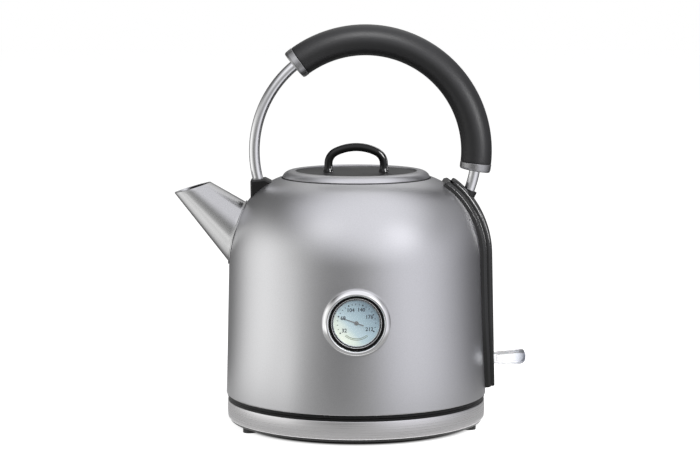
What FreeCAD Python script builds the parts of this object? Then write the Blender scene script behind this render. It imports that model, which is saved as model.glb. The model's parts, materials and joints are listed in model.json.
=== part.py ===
import FreeCAD, Part
import math
import os

# Cordless electric kettle on its power base, in millimetres and degrees.
# Origin: on the table, under the axis of the domed body. +Z is up, the spout points
# to -X, the back panel and its switch lever to +X, and the temperature dial faces -Y.
# A size called rise is a height above the lower edge of the steel body.

# Clearances
fit_gap = 0.1
running_gap = 0.05
moving_gap = 0.3

# Domed body of sheet steel
sheet = 0.8
body_bottom_radius = 89.1
shoulder_radius = 60.0
shoulder_inset = 62.3
shoulder_centre_rise = 94.7
crown_radius = 46.0
crown_start_angle = 42.6

# Power base
foot_height = 3.0
foot_radius = 4.5
foot_inset = 6.3
base_floor = 1.6
base_inset = 0.7
band_crown = 0.8
band_height = 12.1
band_wall = 1.0
base_rim_height = 1.8
base_rim_width = 7.0
base_recess = 1.5
base_wall = 2.2
base_screw_inset = 30.4
base_screw_radius = 1.5
rest_gap = 0.2
tower_radius = 16.5
tower_height = 14.4
slot_inner_radius = 8.0
slot_outer_radius = 11.0
slot_depth = 11.0
core_hole_radius = 3.2
contact_thickness = 1.0
slip_ring_width = 4.6
slip_ring_height = 2.0
gland_bore_radius = 3.3
gland_wall = 1.5
gland_flange = 2.0

# Under the water: skirt, heater and connector
skirt_height = 2.0
bottom_plate = 1.7
heater_rise = 32.2
heater_flange = 7.0
spreader_gap = 1.0
spreader_thickness = 3.0
element_inset = 16.0
element_section_radius = 3.6
element_sweep = 310.0
element_heading = 180.0
element_pin_length = 8.0
socket_gap = 0.7
socket_wall = 4.3
post_inset = 15.0
post_radius = 3.2
post_screw_radius = 1.4
bimetal_radius = 6.0
bimetal_thickness = 0.8
wire_radius = 1.1

# Lid and lid mouth
mouth_radius = 51.0
mouth_gap = 0.4
ledge_depth = 3.2
neck_width = 4.7
neck_length = 8.0
lid_rise = 4.5
lid_flat_width = 3.2
lid_disc_radius = 41.0
lid_disc_recess = 1.0
lid_disc_thickness = 0.8
plug_depth = 9.0
plug_wall = 1.6
seal_height = 2.6
knob_leg_spread = 18.9
knob_height = 19.7
knob_leg_height = 5.6
knob_corner_radius = 9.0
knob_section_radius = 2.8
knob_foot_radius = 3.6
knob_screw_radius = 1.4

# Spout, a round cone cut off by a sloping mouth
spout_below_handle = 31.47
spout_rise_angle = 40.9
spout_root_radius = 18.5
spout_mouth_radius = 10.7
spout_length = 39.6
spout_mouth_tilt = 17.3
spout_lip_width = 1.3
spout_lip_height = 0.9
filter_depth = 15.0
filter_sleeve_length = 12.0
filter_wall = 1.0
filter_mesh_pitch = 3.6
filter_hole = 2.2

# Arched handle: one bent rod with a thick grip over it
handle_centre_x = 6.3
handle_centre_rise = 165.6
handle_radius = 75.7
handle_front_side = 180.0
handle_rear_side = 0.0
rod_radius = 3.65
rod_seat_gap = 0.8
grip_radius = 10.5
grip_front_angle = 125.8
grip_rear_angle = -6.0
ferrule_radius = 10.7
ferrule_length = 5.2
bracket_half_width = 8.0
bracket_outer = 6.2
bracket_inner = 7.8
bracket_height = 4.0
rear_socket_wall = 1.6
rear_socket_height = 6.0
handle_screw_radius = 1.8
handle_screw_depth = 9.0

# Back panel: a moulded frame that follows the body, with a crowned cover strip inside it
panel_half_width = 22.6
panel_widest_rise = 87.0
panel_bottom_half_width = 11.0
panel_bottom_rise = 4.0
panel_end_angle = 59.0
frame_depth = 4.0
frame_rim = 3.4
cover_depth = 6.4
cover_wall = 1.6
cover_groove = 0.4
window_half_width = 3.2
window_bottom_rise = 41.0
window_top_rise = 105.0
window_flange = 1.6
duct_side_gap = 0.5
duct_width = 4.0
duct_depth = 2.6
duct_wall = 0.6
duct_bottom_rise = 21.2
duct_top_drop = 22.0
vent_radius = 1.3

# Switch lever, its pivot and the steam switch behind it
lever_pivot_depth = 5.9
lever_pivot_rise = 23.7
lever_reach = 27.7
lever_half_width = 7.5
lever_stem_half_width = 4.5
lever_stem_length = 2.1
lever_over = 2.4
lever_under = 4.0
lever_tip_over = 4.0
lever_tip_radius = 1.5
lever_nose_radius = 4.2
lever_edge = 0.8
lever_hub_radius = 3.3
lever_pin_radius = 1.5
lever_tail_length = 9.0
lever_tail_thickness = 2.6
lever_travel = 12.0
switch_depth = 19.6
switch_half_width = 10.3
switch_wall = 1.6
switch_ear = 2.0
plunger_radius = 1.6
plunger_arm = 7.2
plunger_length = 4.0
lamp_radius = 2.4
lamp_length = 4.0

# Temperature dial on the front
gauge_rise = 61.2
bezel_radius = 22.5
bezel_width = 4.3
bezel_depth = 5.2
can_radius = 15.5
can_wall = 0.5
can_depth = 12.0
can_seat = 0.6
can_flange = 1.0
lens_thickness = 1.2
rim_width = 0.7
dial_thickness = 0.4
dial_depth = 0.5
needle_angle = 160.0
needle_length = 10.4
needle_tail = 5.0
needle_width = 0.75
needle_hub_radius = 1.4
needle_thickness = 0.2
arbor_radius = 0.6
gauge_nut_width = 4.4
gauge_nut_height = 3.0
coil_half_turns = 5
coil_strip = 0.5
coil_inner_radius = 1.5
coil_height = 4.0

# Heights and radii that follow from the sizes above
band_low = foot_height + base_floor + fit_gap
band_top = band_low + band_height
rim_low = band_top + fit_gap
base_top = rim_low + base_rim_height
kettle_under = base_top + rest_gap
body_bottom = kettle_under + skirt_height
heater_top = body_bottom + heater_rise
heater_under = heater_top - sheet
spreader_under = heater_under - spreader_thickness
band_radius = body_bottom_radius - base_inset
base_edge_radius = band_radius - band_crown
base_inner_radius = band_radius - band_crown - band_wall - fit_gap
foot_circle = band_radius - foot_inset
base_screw_circle = band_radius - base_screw_inset
recess_top = base_top - base_recess
recess_under = recess_top - base_wall
tower_top = recess_top + tower_height
socket_radius = tower_radius + socket_gap
connector_radius = socket_radius + socket_wall
slip_ring_inner = tower_radius + fit_gap
slip_ring_outer = slip_ring_inner + slip_ring_width
gland_height = (band_low + band_top) / 2
gland_radius = gland_bore_radius + gland_wall
post_circle = body_bottom_radius - post_inset
shoulder_centre_radius = body_bottom_radius - shoulder_inset
shoulder_centre_height = body_bottom + shoulder_centre_rise
handle_centre_height = body_bottom + handle_centre_rise
lever_height = body_bottom + lever_pivot_rise
gauge_height = body_bottom + gauge_rise
panel_bottom = body_bottom + panel_bottom_rise
panel_widest = body_bottom + panel_widest_rise
window_bottom = body_bottom + window_bottom_rise
window_top = body_bottom + window_top_rise
duct_inner_y = lever_stem_half_width + moving_gap + duct_side_gap
duct_bottom = body_bottom + duct_bottom_rise
neck_radius = mouth_radius - neck_width
bezel_inner_radius = bezel_radius - bezel_width
feet_angles = (209, 339, 90)
thirds = (60, 180, 300)

FAR = 400.0
UP = FreeCAD.Vector(0, 0, 1)
ALONG_X = FreeCAD.Vector(1, 0, 0)
ALONG_Y = FreeCAD.Vector(0, 1, 0)


def vec(x, y, z):
    return FreeCAD.Vector(x, y, z)


def wire(items, place):
    """A closed wire. An item is a corner (a, b), or (via, end) for an arc to end through via."""
    edges = []
    here = place(*items[0])
    for item in items[1:] + items[:1]:
        curved = isinstance(item[0], tuple)
        end = place(*(item[1] if curved else item))
        if curved:
            edges.append(Part.Arc(here, place(*item[0]), end).toShape())
        elif here.distanceToPoint(end) > 1e-6:
            edges.append(Part.LineSegment(here, end).toShape())
        here = end
    return Part.Wire(edges)


def turned(items, sweep=360.0):
    """A solid turned about the body's axis from an (r, z) outline, centred on +X when partial."""
    face = Part.Face(wire(items, lambda r, z: vec(r, 0, z)))
    if sweep < 360.0:
        face.rotate(vec(0, 0, 0), UP, -sweep / 2)
    return face.revolve(vec(0, 0, 0), UP, sweep)


def ring(inner, outer, low, high):
    return turned([(inner, low), (outer, low), (outer, high), (inner, high)])


def disc(radius, low, high, x=0.0, y=0.0):
    return Part.makeCylinder(radius, high - low, vec(x, y, low))


def block(x0, x1, y0, y1, z0, z1):
    return Part.makeBox(x1 - x0, y1 - y0, z1 - z0, vec(x0, y0, z0))


def plate_xz(items, y0, y1):
    """An (x, z) outline given thickness along Y."""
    return Part.Face(wire(items, lambda x, z: vec(x, y0, z))).extrude(vec(0, y1 - y0, 0))


def on_circle(circle, angle, height=0.0):
    turn = math.radians(angle)
    return vec(circle * math.cos(turn), circle * math.sin(turn), height)


def round_spots(radius, low, high, circle, angles):
    """Upright cylinders at the given angles on a circle about the axis."""
    return [Part.makeCylinder(radius, high - low, on_circle(circle, angle, low)) for angle in angles]


def joined(shapes):
    return shapes[0].multiFuse(shapes[1:]).removeSplitter()


def screw(radius, length, seat, along):
    """A pan-headed screw whose head sits on a seat and whose shank runs along a direction."""
    head = radius * 0.9
    shank = Part.makeCylinder(radius, length, seat, along)
    return shank.fuse(Part.makeCylinder(2 * radius, head, seat - along * head, along)).removeSplitter()


# Wall of revolution: a tapered side, a shoulder arc and a tighter crown arc, all tangent
wall_taper = (math.acos(shoulder_radius / math.hypot(shoulder_inset, shoulder_centre_rise))
              - math.atan2(shoulder_centre_rise, shoulder_inset))
crown_turn = math.radians(crown_start_angle)
crown_shift = shoulder_radius - crown_radius
crown_centre_radius = shoulder_centre_radius + crown_shift * math.cos(crown_turn)
crown_centre_height = shoulder_centre_height + crown_shift * math.sin(crown_turn)


def on_shoulder(offset, angle):
    radius = shoulder_radius + offset
    return (shoulder_centre_radius + radius * math.cos(angle),
            shoulder_centre_height + radius * math.sin(angle))


def on_crown(offset, angle):
    radius = crown_radius + offset
    return (crown_centre_radius + radius * math.cos(angle),
            crown_centre_height + radius * math.sin(angle))


def wall_radius(height, offset=0.0):
    """Radius of the tapered side at a height, moved outwards by offset."""
    drop = height - body_bottom
    return body_bottom_radius - drop * math.tan(wall_taper) + offset / math.cos(wall_taper)


def shoulder_turn(point):
    """Angle of a point in the XZ plane about the centre of the shoulder's arc."""
    return math.atan2(point.z - shoulder_centre_height, abs(point.x) - shoulder_centre_radius)


def wall_distance(point):
    """How far a point in the XZ plane lies outside the dome."""
    if shoulder_turn(point) < crown_turn:
        reach, rise = abs(point.x) - shoulder_centre_radius, point.z - shoulder_centre_height
        return math.hypot(reach, rise) - shoulder_radius
    return math.hypot(abs(point.x) - crown_centre_radius, point.z - crown_centre_height) - crown_radius


def crown_end(offset, radius):
    """Angle at which the crown, moved outwards by offset, has narrowed to a radius."""
    return math.acos((radius - crown_centre_radius) / (crown_radius + offset))


def wall_points(offset, low, end):
    """Corner and mid points of the wall from low up to an angle on the crown."""
    return [(wall_radius(low, offset), low), on_shoulder(offset, wall_taper),
            on_shoulder(offset, (wall_taper + crown_turn) / 2), on_shoulder(offset, crown_turn),
            on_crown(offset, (crown_turn + end) / 2), on_crown(offset, end)]


def wall_up(offset, low, end):
    p = wall_points(offset, low, end)
    return [p[0], p[1], (p[2], p[3]), (p[4], p[5])]


def wall_down(offset, low, end):
    p = wall_points(offset, low, end)
    return [p[5], (p[4], p[3]), (p[2], p[1]), p[0]]


def wall_band(inner, outer, end, sweep=360.0):
    """The layer between two offsets of the wall, from the table up to an angle on the crown."""
    return turned(wall_up(outer, 0, end) + wall_down(inner, 0, end), sweep)


def panel_band(inner, outer, short=0.0):
    """The layer behind the panel, which ends square to the dome, shorter there by a length."""
    sweep = 4 * math.degrees(math.asin(panel_half_width / mouth_radius))
    return wall_band(inner, outer, math.radians(panel_end_angle) - short / crown_radius, sweep)


def body_fill(offset):
    """Everything inside the wall moved outwards by offset."""
    items = wall_up(offset, 0, crown_end(offset, neck_radius))
    return turned(items + [(0, items[-1][1][1]), (0, 0)])


mouth_end = crown_end(0, mouth_radius)
seam_height = on_crown(0, mouth_end)[1]
ledge_height = seam_height - ledge_depth
duct_top = seam_height - duct_top_drop
lid_top = seam_height + lid_rise
lid_disc_top = lid_top - lid_disc_recess
lid_pan_under = lid_disc_top - lid_disc_thickness - sheet
plug_bottom = lid_pan_under - plug_depth
outside_of_body = body_fill(fit_gap)


# Handle
handle_centre = vec(handle_centre_x, 0, handle_centre_height)


def handle_point(angle, radius=handle_radius):
    turn = math.radians(angle)
    return handle_centre + vec(math.cos(turn), 0, math.sin(turn)) * radius


def handle_heading(angle):
    """Direction along the arc towards rising angles."""
    turn = math.radians(angle)
    return vec(-math.sin(turn), 0, math.cos(turn))


def bent(radius, start_angle, end_angle, bore=0.0):
    """A round section, hollow if it has a bore, carried along the handle's arc."""
    centre = handle_centre + ALONG_X * handle_radius
    section = Part.Face(Part.Wire(Part.makeCircle(radius, centre, UP)))
    if bore:
        section = section.cut(Part.Face(Part.Wire(Part.makeCircle(bore, centre, UP))))
    section.rotate(handle_centre, ALONG_Y * -1, start_angle)
    return section.revolve(handle_centre, ALONG_Y * -1, end_angle - start_angle)


def rod_end_angle(angle, step):
    """Walk along the arc until the rod's end comes down to its gap over the dome."""
    def gap(at):
        return min(wall_distance(handle_point(at, handle_radius + side * rod_radius)) for side in (-1, 1))

    while gap(angle) > rod_seat_gap:
        angle += step
    return angle


rod_front_angle = rod_end_angle(handle_front_side, 0.1)
rod_rear_angle = rod_end_angle(handle_rear_side, -0.1)
rod_front_end = handle_point(rod_front_angle)
socket_sweep = math.degrees(2 * bracket_half_width / handle_radius)
rear_socket_radius = rod_radius + rear_socket_wall
screw_places = [(rod_front_end, handle_heading(rod_front_angle) * -1),
                (handle_point(rod_rear_angle), handle_heading(rod_rear_angle))]


def handle_screw_seat(start, heading):
    """Distance back from a rod end at which the screw's head lies just inside the wall."""
    back = 0.0
    sides = vec(heading.z, 0, -heading.x) * (2 * handle_screw_radius)
    while max(wall_distance(start - heading * back + sides * side) for side in (-1, 1)) > -sheet - fit_gap:
        back += 0.1
    return back


def screw_bores(radius):
    bores = []
    for start, heading in screw_places:
        length = 2 * handle_screw_depth
        bores.append(Part.makeCylinder(radius, length, start - heading * handle_screw_depth, heading))
    return bores


def make_handle_rod():
    return bent(rod_radius, rod_rear_angle, rod_front_angle).cut(screw_bores(handle_screw_radius + fit_gap))


def make_handle_screws():
    screws = []
    for start, heading in screw_places:
        back = handle_screw_seat(start, heading)
        length = back + handle_screw_depth - moving_gap
        screws.append(screw(handle_screw_radius, length, start - heading * back, heading))
    return Part.makeCompound(screws)


def make_handle_grip():
    return bent(grip_radius, grip_rear_angle, grip_front_angle, rod_radius + fit_gap)


def make_ferrule(start_angle, way):
    """A thick steel cap on one end of the grip, rounded on its outer edge."""
    sweep = math.degrees(ferrule_length / handle_radius)
    low, high = sorted((start_angle, start_angle + way * sweep))
    cap = bent(ferrule_radius, low, high, rod_radius + fit_gap)
    end = handle_point(start_angle + way * sweep)
    rims = [edge for edge in cap.Edges if edge.CenterOfMass.distanceToPoint(end) < fit_gap
            and edge.BoundBox.YLength > ferrule_radius + rod_radius]
    return cap.makeFillet(ferrule_length / 4, rims)


def make_front_bracket():
    """A wedge block on the dome, with the front end of the rod set into its top."""
    outer, inner = rod_front_end.x - bracket_outer, rod_front_end.x + bracket_inner
    low, top = shoulder_centre_height, rod_front_end.z + bracket_height
    blend = bracket_height / 4
    items = [(outer + blend / 2, low), (outer, top - blend),
             ((outer + 0.3 * blend, top - 0.3 * blend), (outer + blend, top)),
             (inner - bracket_height, top + blend), (inner, top - blend), (inner, low)]
    solid = plate_xz(items, -bracket_half_width, bracket_half_width)
    sides = [edge for edge in solid.Edges if edge.BoundBox.ZMin > low + blend
             and abs(abs(edge.CenterOfMass.y) - bracket_half_width) < 1e-3]
    solid = solid.makeFillet(1.5 * blend, sides)
    socket = bent(rod_radius + fit_gap, handle_front_side, rod_front_angle + socket_sweep)
    return solid.cut([outside_of_body, socket])


# Spout
spout_turn = math.radians(spout_rise_angle)
spout_axis = vec(-math.cos(spout_turn), 0, math.sin(spout_turn))
spout_root_turn = shoulder_turn(rod_front_end) - math.radians(spout_below_handle)
spout_start = on_shoulder(0, spout_root_turn)
spout_root = vec(-spout_start[0], 0, spout_start[1])
spout_slope = (spout_root_radius - spout_mouth_radius) / spout_length


def spout_cone(start, end, inset):
    """Part of the spout's cone between two distances from its root, drawn in by inset."""
    return Part.makeCone(spout_root_radius - spout_slope * start - inset,
                         spout_root_radius - spout_slope * end - inset,
                         end - start, spout_root + spout_axis * start, spout_axis)


def make_spout():
    inside = -2 * filter_depth
    beyond = spout_length + 2 * spout_mouth_radius
    lip = spout_cone(inside, spout_length / 2, -spout_lip_width)
    lip = lip.common(wall_band(0, spout_lip_height, mouth_end))
    bore = spout_cone(inside - sheet, beyond + sheet, sheet)
    shell = spout_cone(inside, beyond, 0).fuse(lip).cut([bore, outside_of_body])
    above = block(-FAR, FAR, -FAR, FAR, 0, FAR)
    above.rotate(vec(0, 0, 0), ALONG_Y, -spout_mouth_tilt)
    above.translate(spout_root + spout_axis * spout_length)
    return shell.cut(above).removeSplitter()


def make_spout_filter():
    """A tapered sleeve that nests in the spout's root, closed by a square mesh."""
    inset = sheet + moving_gap
    start = -filter_depth
    end = start + filter_sleeve_length
    bore = spout_cone(start - filter_wall, end + filter_wall, inset + filter_wall)
    sleeve = spout_cone(start, end, inset).cut(bore)
    radius = spout_root_radius - spout_slope * start - inset - filter_wall / 2
    half = filter_hole / 2
    reach = int(radius / filter_mesh_pitch)
    steps = [k * filter_mesh_pitch for k in range(-reach, reach + 1)]
    holes = []
    for x in steps:
        for y in steps:
            if math.hypot(abs(x) + half, abs(y) + half) < radius - filter_wall:
                corners = [(x - half, y - half), (x + half, y - half),
                           (x + half, y + half), (x - half, y + half)]
                holes.append(wire(corners, lambda a, b: vec(a, b, 0)))
    mesh = Part.Face([Part.Wire(Part.makeCircle(radius))] + holes).extrude(UP * filter_wall)
    mesh.Placement = FreeCAD.Placement(spout_root + spout_axis * start, FreeCAD.Rotation(UP, spout_axis))
    return sleeve.fuse(mesh).removeSplitter()


# Back panel
def mirrored(half):
    """The same run of items on the other side, walked the other way."""
    ends = [item[1] if isinstance(item[0], tuple) else item for item in half]
    items = [(-ends[-1][0], ends[-1][1])]
    for k in range(len(half) - 1, 0, -1):
        end = (-ends[k - 1][0], ends[k - 1][1])
        via = half[k][0]
        items.append(((-via[0], via[1]), end) if isinstance(via, tuple) else end)
    return items


def prism_x(items):
    """A (y, z) outline as a prism along X."""
    return Part.Face(wire(items, lambda y, z: vec(0, y, z))).extrude(ALONG_X * FAR)


panel_draw = panel_half_width - panel_bottom_half_width
panel_side_radius = ((panel_widest - panel_bottom) ** 2 + panel_draw ** 2) / (2 * panel_draw)


def panel_half(inset, height):
    """Half width of the panel at a height: one large arc each side, drawn in by inset."""
    reach = math.sqrt((panel_side_radius - inset) ** 2 - (height - panel_widest) ** 2)
    return panel_half_width - panel_side_radius + reach


def panel_prism(inset, low):
    """The panel's outline seen from behind, from a lower end to above the dome."""
    middle = (low + lid_top) / 2
    half = [(panel_half(inset, low), low),
            ((panel_half(inset, middle), middle), (panel_half(inset, lid_top), lid_top))]
    return prism_x(half + mirrored(half))


def window_slot(grow):
    """The window's round-ended upright slot."""
    half, low, high = window_half_width + grow, window_bottom - grow, window_top + grow
    return prism_x([(-half, low + half), ((0, low), (half, low + half)), (half, high - half),
                    ((0, high), (-half, high - half))])


def lever_opening(grow):
    """The slot that the lever sweeps through as it is pressed."""
    turn = math.radians(lever_travel)
    swing = (cover_depth + lever_pivot_depth) * math.tan(turn) + lever_under * (1 / math.cos(turn) - 1)
    half = lever_stem_half_width + grow
    return block(lever_x, FAR, -half, half, lever_height - lever_under - swing - grow,
                 lever_height + lever_over + grow)


def duct_ports(length):
    """Holes from the body into the two ends of the steam duct."""
    middle = duct_inner_y + duct_width / 2
    heights = (duct_bottom + duct_width / 2, duct_top - duct_width / 2)
    return [Part.makeCylinder(vent_radius, length, vec(0, middle, height), ALONG_X) for height in heights]


def rear_socket_space(radius, height):
    """A straight round space in line with the rod's rear end, from inside the dome up to a height."""
    start, heading = screw_places[1]
    root = 2 * rear_socket_radius
    return Part.makeCylinder(radius, root + height, start - heading * root, heading)


def rear_socket_clearance():
    return rear_socket_space(rear_socket_radius + fit_gap, 2 * rear_socket_height)


lever_x = wall_radius(lever_height) - lever_pivot_depth


def make_rear_socket():
    """The round boss on the dome that holds the rod's rear end."""
    bore = rear_socket_space(rod_radius + moving_gap, 2 * rear_socket_height)
    return rear_socket_space(rear_socket_radius, rear_socket_height).cut([outside_of_body, bore])


def make_back_frame():
    """A frame of two long legs and a top rim, open at its lower end."""
    outline = panel_prism(0, panel_bottom)
    inside = panel_prism(frame_rim, panel_bottom - frame_rim)
    inside = inside.common(panel_band(0, 2 * frame_depth, frame_rim))
    return panel_band(fit_gap, frame_depth).common(outline).cut(inside)


def make_back_cover():
    """The strip that fills the frame, hollow behind, with the socket's hole, window and lever slot."""
    inset = frame_rim + cover_groove
    room = inset + cover_wall
    strip = panel_band(fit_gap, cover_depth, inset).common(panel_prism(inset, panel_bottom))
    hollow = panel_prism(room, panel_bottom + cover_wall)
    hollow = hollow.common(panel_band(0, cover_depth - cover_wall, room))
    return strip.cut([hollow, rear_socket_clearance(), window_slot(fit_gap), lever_opening(moving_gap)])


def make_water_window():
    pane = panel_band(fit_gap, cover_depth).common(window_slot(0))
    flange = panel_band(fit_gap, cover_depth - cover_wall - fit_gap).common(window_slot(window_flange))
    return pane.fuse(flange).removeSplitter()


def make_steam_duct():
    """A flat tube behind the cover that leads steam from the dome down to the switch."""
    y0, y1 = duct_inner_y, duct_inner_y + duct_width
    tube = panel_band(fit_gap, fit_gap + duct_depth).common(block(0, FAR, y0, y1, duct_bottom, duct_top))
    bore = panel_band(fit_gap + duct_wall, fit_gap + duct_depth - duct_wall)
    bore = bore.common(block(0, FAR, y0 + duct_wall, y1 - duct_wall,
                             duct_bottom + duct_wall, duct_top - duct_wall))
    inner_side = panel_band(0, fit_gap + duct_depth / 2)
    return tube.cut([bore] + [port.common(inner_side) for port in duct_ports(FAR)])


# Switch
switch_back = lever_x - lever_tail_length - 1.5 * moving_gap
switch_inner = lever_x - switch_depth
switch_roof = heater_under - moving_gap - plunger_arm * math.tan(math.radians(lever_travel))
ear_inner = lever_stem_half_width + moving_gap
ear_outer = ear_inner + switch_ear


def pivot_pin(radius, half_length):
    return Part.makeCylinder(radius, 2 * half_length, vec(lever_x, -half_length, lever_height), ALONG_Y)


def make_switch_lever():
    """A clear thumb pad outside the panel, a stem through it, a hub on the pin and a short tail."""
    z, wall = lever_height, wall_radius(lever_height)
    under, over, tip_over = z - lever_under, z + lever_over, z + lever_tip_over
    pad, tip = wall + cover_depth + lever_stem_length, wall + lever_reach
    arm = lever_tail_thickness / 2
    inside = lever_x + lever_hub_radius / 2
    stem = plate_xz([(inside, z - arm), (wall - sheet, z - arm), (wall + sheet, under), (pad, under),
                     (pad, over), (wall + sheet, over), (wall - sheet, z + arm), (inside, z + arm)],
                    -lever_stem_half_width, lever_stem_half_width)
    soft = 1 - math.sqrt(0.5)
    nose, corner = lever_nose_radius, lever_tip_radius
    paddle = plate_xz([(pad, under), (tip - nose, under),
                       ((tip - soft * nose, under + soft * nose), (tip, under + nose)),
                       (tip, tip_over - corner),
                       ((tip - soft * corner, tip_over - soft * corner), (tip - corner, tip_over)),
                       (pad, over)], -lever_half_width, lever_half_width)
    rims = [edge for edge in paddle.Edges
            if abs(abs(edge.CenterOfMass.y) - lever_half_width) < 1e-3 and edge.BoundBox.XMax > pad + fit_gap]
    tail_half = lever_stem_half_width - moving_gap
    tail = block(lever_x - lever_tail_length, lever_x, -tail_half, tail_half, z - arm, z + arm)
    hub = pivot_pin(lever_hub_radius, lever_stem_half_width)
    shape = joined([paddle.makeFillet(lever_edge, rims), stem, hub, tail])
    return shape.cut(pivot_pin(lever_pin_radius + running_gap, FAR))


def make_steam_switch():
    """A box on the bottom cover, with two ears for the lever's pin and a guide for the plunger."""
    z = lever_height
    floor = kettle_under + bottom_plate + fit_gap
    box = block(switch_inner, switch_back, -switch_half_width, switch_half_width, floor, switch_roof)
    room_width = switch_half_width - switch_wall
    room_back = switch_back - switch_wall
    room = block(switch_inner + switch_wall, room_back, -room_width, room_width,
                 floor - switch_wall, switch_roof - switch_wall)
    ear = [(room_back, z - 2.5 * lever_hub_radius), (lever_x, z - lever_hub_radius),
           ((lever_x + lever_hub_radius, z), (lever_x, z + lever_hub_radius)), (room_back, switch_roof)]
    ears = [plate_xz(ear, side, side + switch_ear) for side in (ear_inner, -ear_outer)]
    guide = block(room_back, lever_x - plunger_arm + 2 * plunger_radius, -ear_outer, ear_outer,
                  switch_roof - switch_wall, switch_roof)
    bores = [pivot_pin(lever_pin_radius + fit_gap / 5, FAR),
             disc(plunger_radius + running_gap, 0, FAR, lever_x - plunger_arm)]
    return joined([box.cut(room), guide] + ears).cut(bores)


def make_contact_plunger():
    """A round-ended pin that the lever's tail lifts to close the contacts."""
    x = lever_x - plunger_arm
    low = lever_height + lever_tail_thickness / 2 + moving_gap + plunger_radius
    tip = Part.makeSphere(plunger_radius, vec(x, 0, low))
    return joined([disc(plunger_radius, low, low + plunger_length - plunger_radius, x), tip])


def make_steam_bimetal():
    centre = vec(switch_inner - bimetal_thickness - fit_gap, 0, lever_height - bimetal_radius)
    return Part.makeCylinder(bimetal_radius, bimetal_thickness, centre, ALONG_X)


def make_switch_lamp():
    """The small round-ended lamp that lights the clear lever."""
    at = vec(switch_back + fit_gap, 0, lever_height - 2 * lever_hub_radius - lamp_radius)
    return joined([Part.makeCylinder(lamp_radius, lamp_length, at, ALONG_X),
                   Part.makeSphere(lamp_radius, at + ALONG_X * lamp_length)])


def make_switch_wires():
    """Two leads from the connector to the switch, each two straight runs and a bend."""
    start, end = connector_radius + fit_gap, switch_inner - fit_gap
    height = kettle_under + bottom_plate + 4 * wire_radius
    middle, dip = (start + end) / 2, 6 * wire_radius
    wires = []
    for y in (-bimetal_radius - 2 * wire_radius, bimetal_radius + 2 * wire_radius):
        near = math.sqrt(start ** 2 - y ** 2)
        points = [vec(near + wire_radius, y, height + dip), vec(middle - dip, y, height + dip),
                  vec(middle, y, height + dip / 2), vec(middle + dip, y, height), vec(end, y, height)]
        path = Part.Wire([Part.LineSegment(points[0], points[1]).toShape(),
                          s_bend(points[1], points[2], 1), s_bend(points[2], points[3], -1),
                          Part.LineSegment(points[3], points[4]).toShape()])
        section = Part.Wire(Part.makeCircle(wire_radius, points[0], ALONG_X))
        wires.append(path.makePipeShell([section], True, False))
    return Part.makeCompound(wires)


def s_bend(start, end, way):
    """One of the two equal arcs that carry a level run down to a lower level run."""
    run, fall = end.x - start.x, start.z - end.z
    radius = (run ** 2 + fall ** 2) / (2 * fall)
    half = math.atan2(fall, run)
    level = start if way > 0 else end
    middle = level + vec(way * radius * math.sin(half), 0, -way * radius * (1 - math.cos(half)))
    return Part.Arc(start, middle, end).toShape()


# Temperature dial
can_front = can_seat + can_flange
lens_radius = can_radius + can_flange / 2
dial_front = can_front - dial_depth
nut_top = math.sqrt((wall_radius(gauge_height) - sheet) ** 2 - (can_radius + gauge_nut_width) ** 2)
nut_seat = nut_top - wall_radius(gauge_height) - moving_gap


def gauge_turned(items):
    """A solid turned about the dial's axis from a (radius, distance out of the wall) outline."""
    wall = wall_radius(gauge_height)
    face = Part.Face(wire(items, lambda r, out: vec(r, -wall - out, gauge_height)))
    return face.revolve(vec(0, 0, gauge_height), ALONG_Y, 360)


def gauge_ring(inner, outer, low, high):
    return gauge_turned([(inner, low), (outer, low), (outer, high), (inner, high)])


def make_gauge_bezel():
    """A rolled ring whose back edge follows the round wall."""
    back = -bezel_radius / 2
    items = [(bezel_inner_radius, back), (bezel_radius, back), (bezel_radius, 0.4 * bezel_depth),
             ((bezel_radius - 0.12 * bezel_width, 0.82 * bezel_depth),
              (bezel_radius - 0.45 * bezel_width, bezel_depth)),
             (bezel_inner_radius + 0.2 * bezel_width, 0.9 * bezel_depth),
             (bezel_inner_radius, 0.78 * bezel_depth)]
    return gauge_turned(items).cut(outside_of_body)


def make_gauge_can():
    """The can that dips into the water, with a flange under the bezel."""
    flange = bezel_inner_radius - fit_gap
    inner = can_radius - can_wall
    return gauge_turned([(0, -can_depth), (can_radius, -can_depth), (can_radius, can_seat),
                         (flange, can_seat), (flange, can_front), (inner, can_front),
                         (inner, can_wall - can_depth), (0, can_wall - can_depth)])


def make_gauge_seal():
    flat = gauge_ring(can_radius + fit_gap, bezel_inner_radius - fit_gap, -bezel_radius / 2,
                      can_seat - fit_gap / 2)
    return flat.cut(outside_of_body)


def make_gauge_washer():
    washer = gauge_ring(can_radius + fit_gap, can_radius + gauge_nut_width, nut_seat, 0)
    return washer.common(body_fill(-sheet - fit_gap))


def make_gauge_nut():
    """A ring nut with notches for a spanner."""
    nut = gauge_ring(can_radius + fit_gap, can_radius + gauge_nut_width,
                     nut_seat - gauge_nut_height, nut_seat - fit_gap / 2)
    notch = gauge_nut_width / 2
    notches = []
    for angle in range(0, 360, 60):
        cutter = block(can_radius + notch, FAR, -FAR, FAR, -notch / 2, notch / 2)
        cutter.rotate(vec(0, 0, 0), ALONG_Y, angle)
        notches.append(cutter.translated(UP * gauge_height))
    return nut.cut(notches)


def make_gauge_dial():
    return gauge_ring(arbor_radius + running_gap, can_radius - can_wall - fit_gap,
                      dial_front - dial_thickness, dial_front)


def make_gauge_rim():
    inner, outer = lens_radius + fit_gap, lens_radius + fit_gap + rim_width
    lip = rim_width / 2
    top = can_front + lens_thickness + 2 * fit_gap
    return gauge_turned([(inner, can_front), (outer, can_front), (outer, top + lip),
                         (inner - lip, top + lip), (inner - lip, top), (inner, top)])


def make_gauge_lens():
    return gauge_ring(0, lens_radius, can_front + fit_gap / 2, can_front + fit_gap / 2 + lens_thickness)


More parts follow.
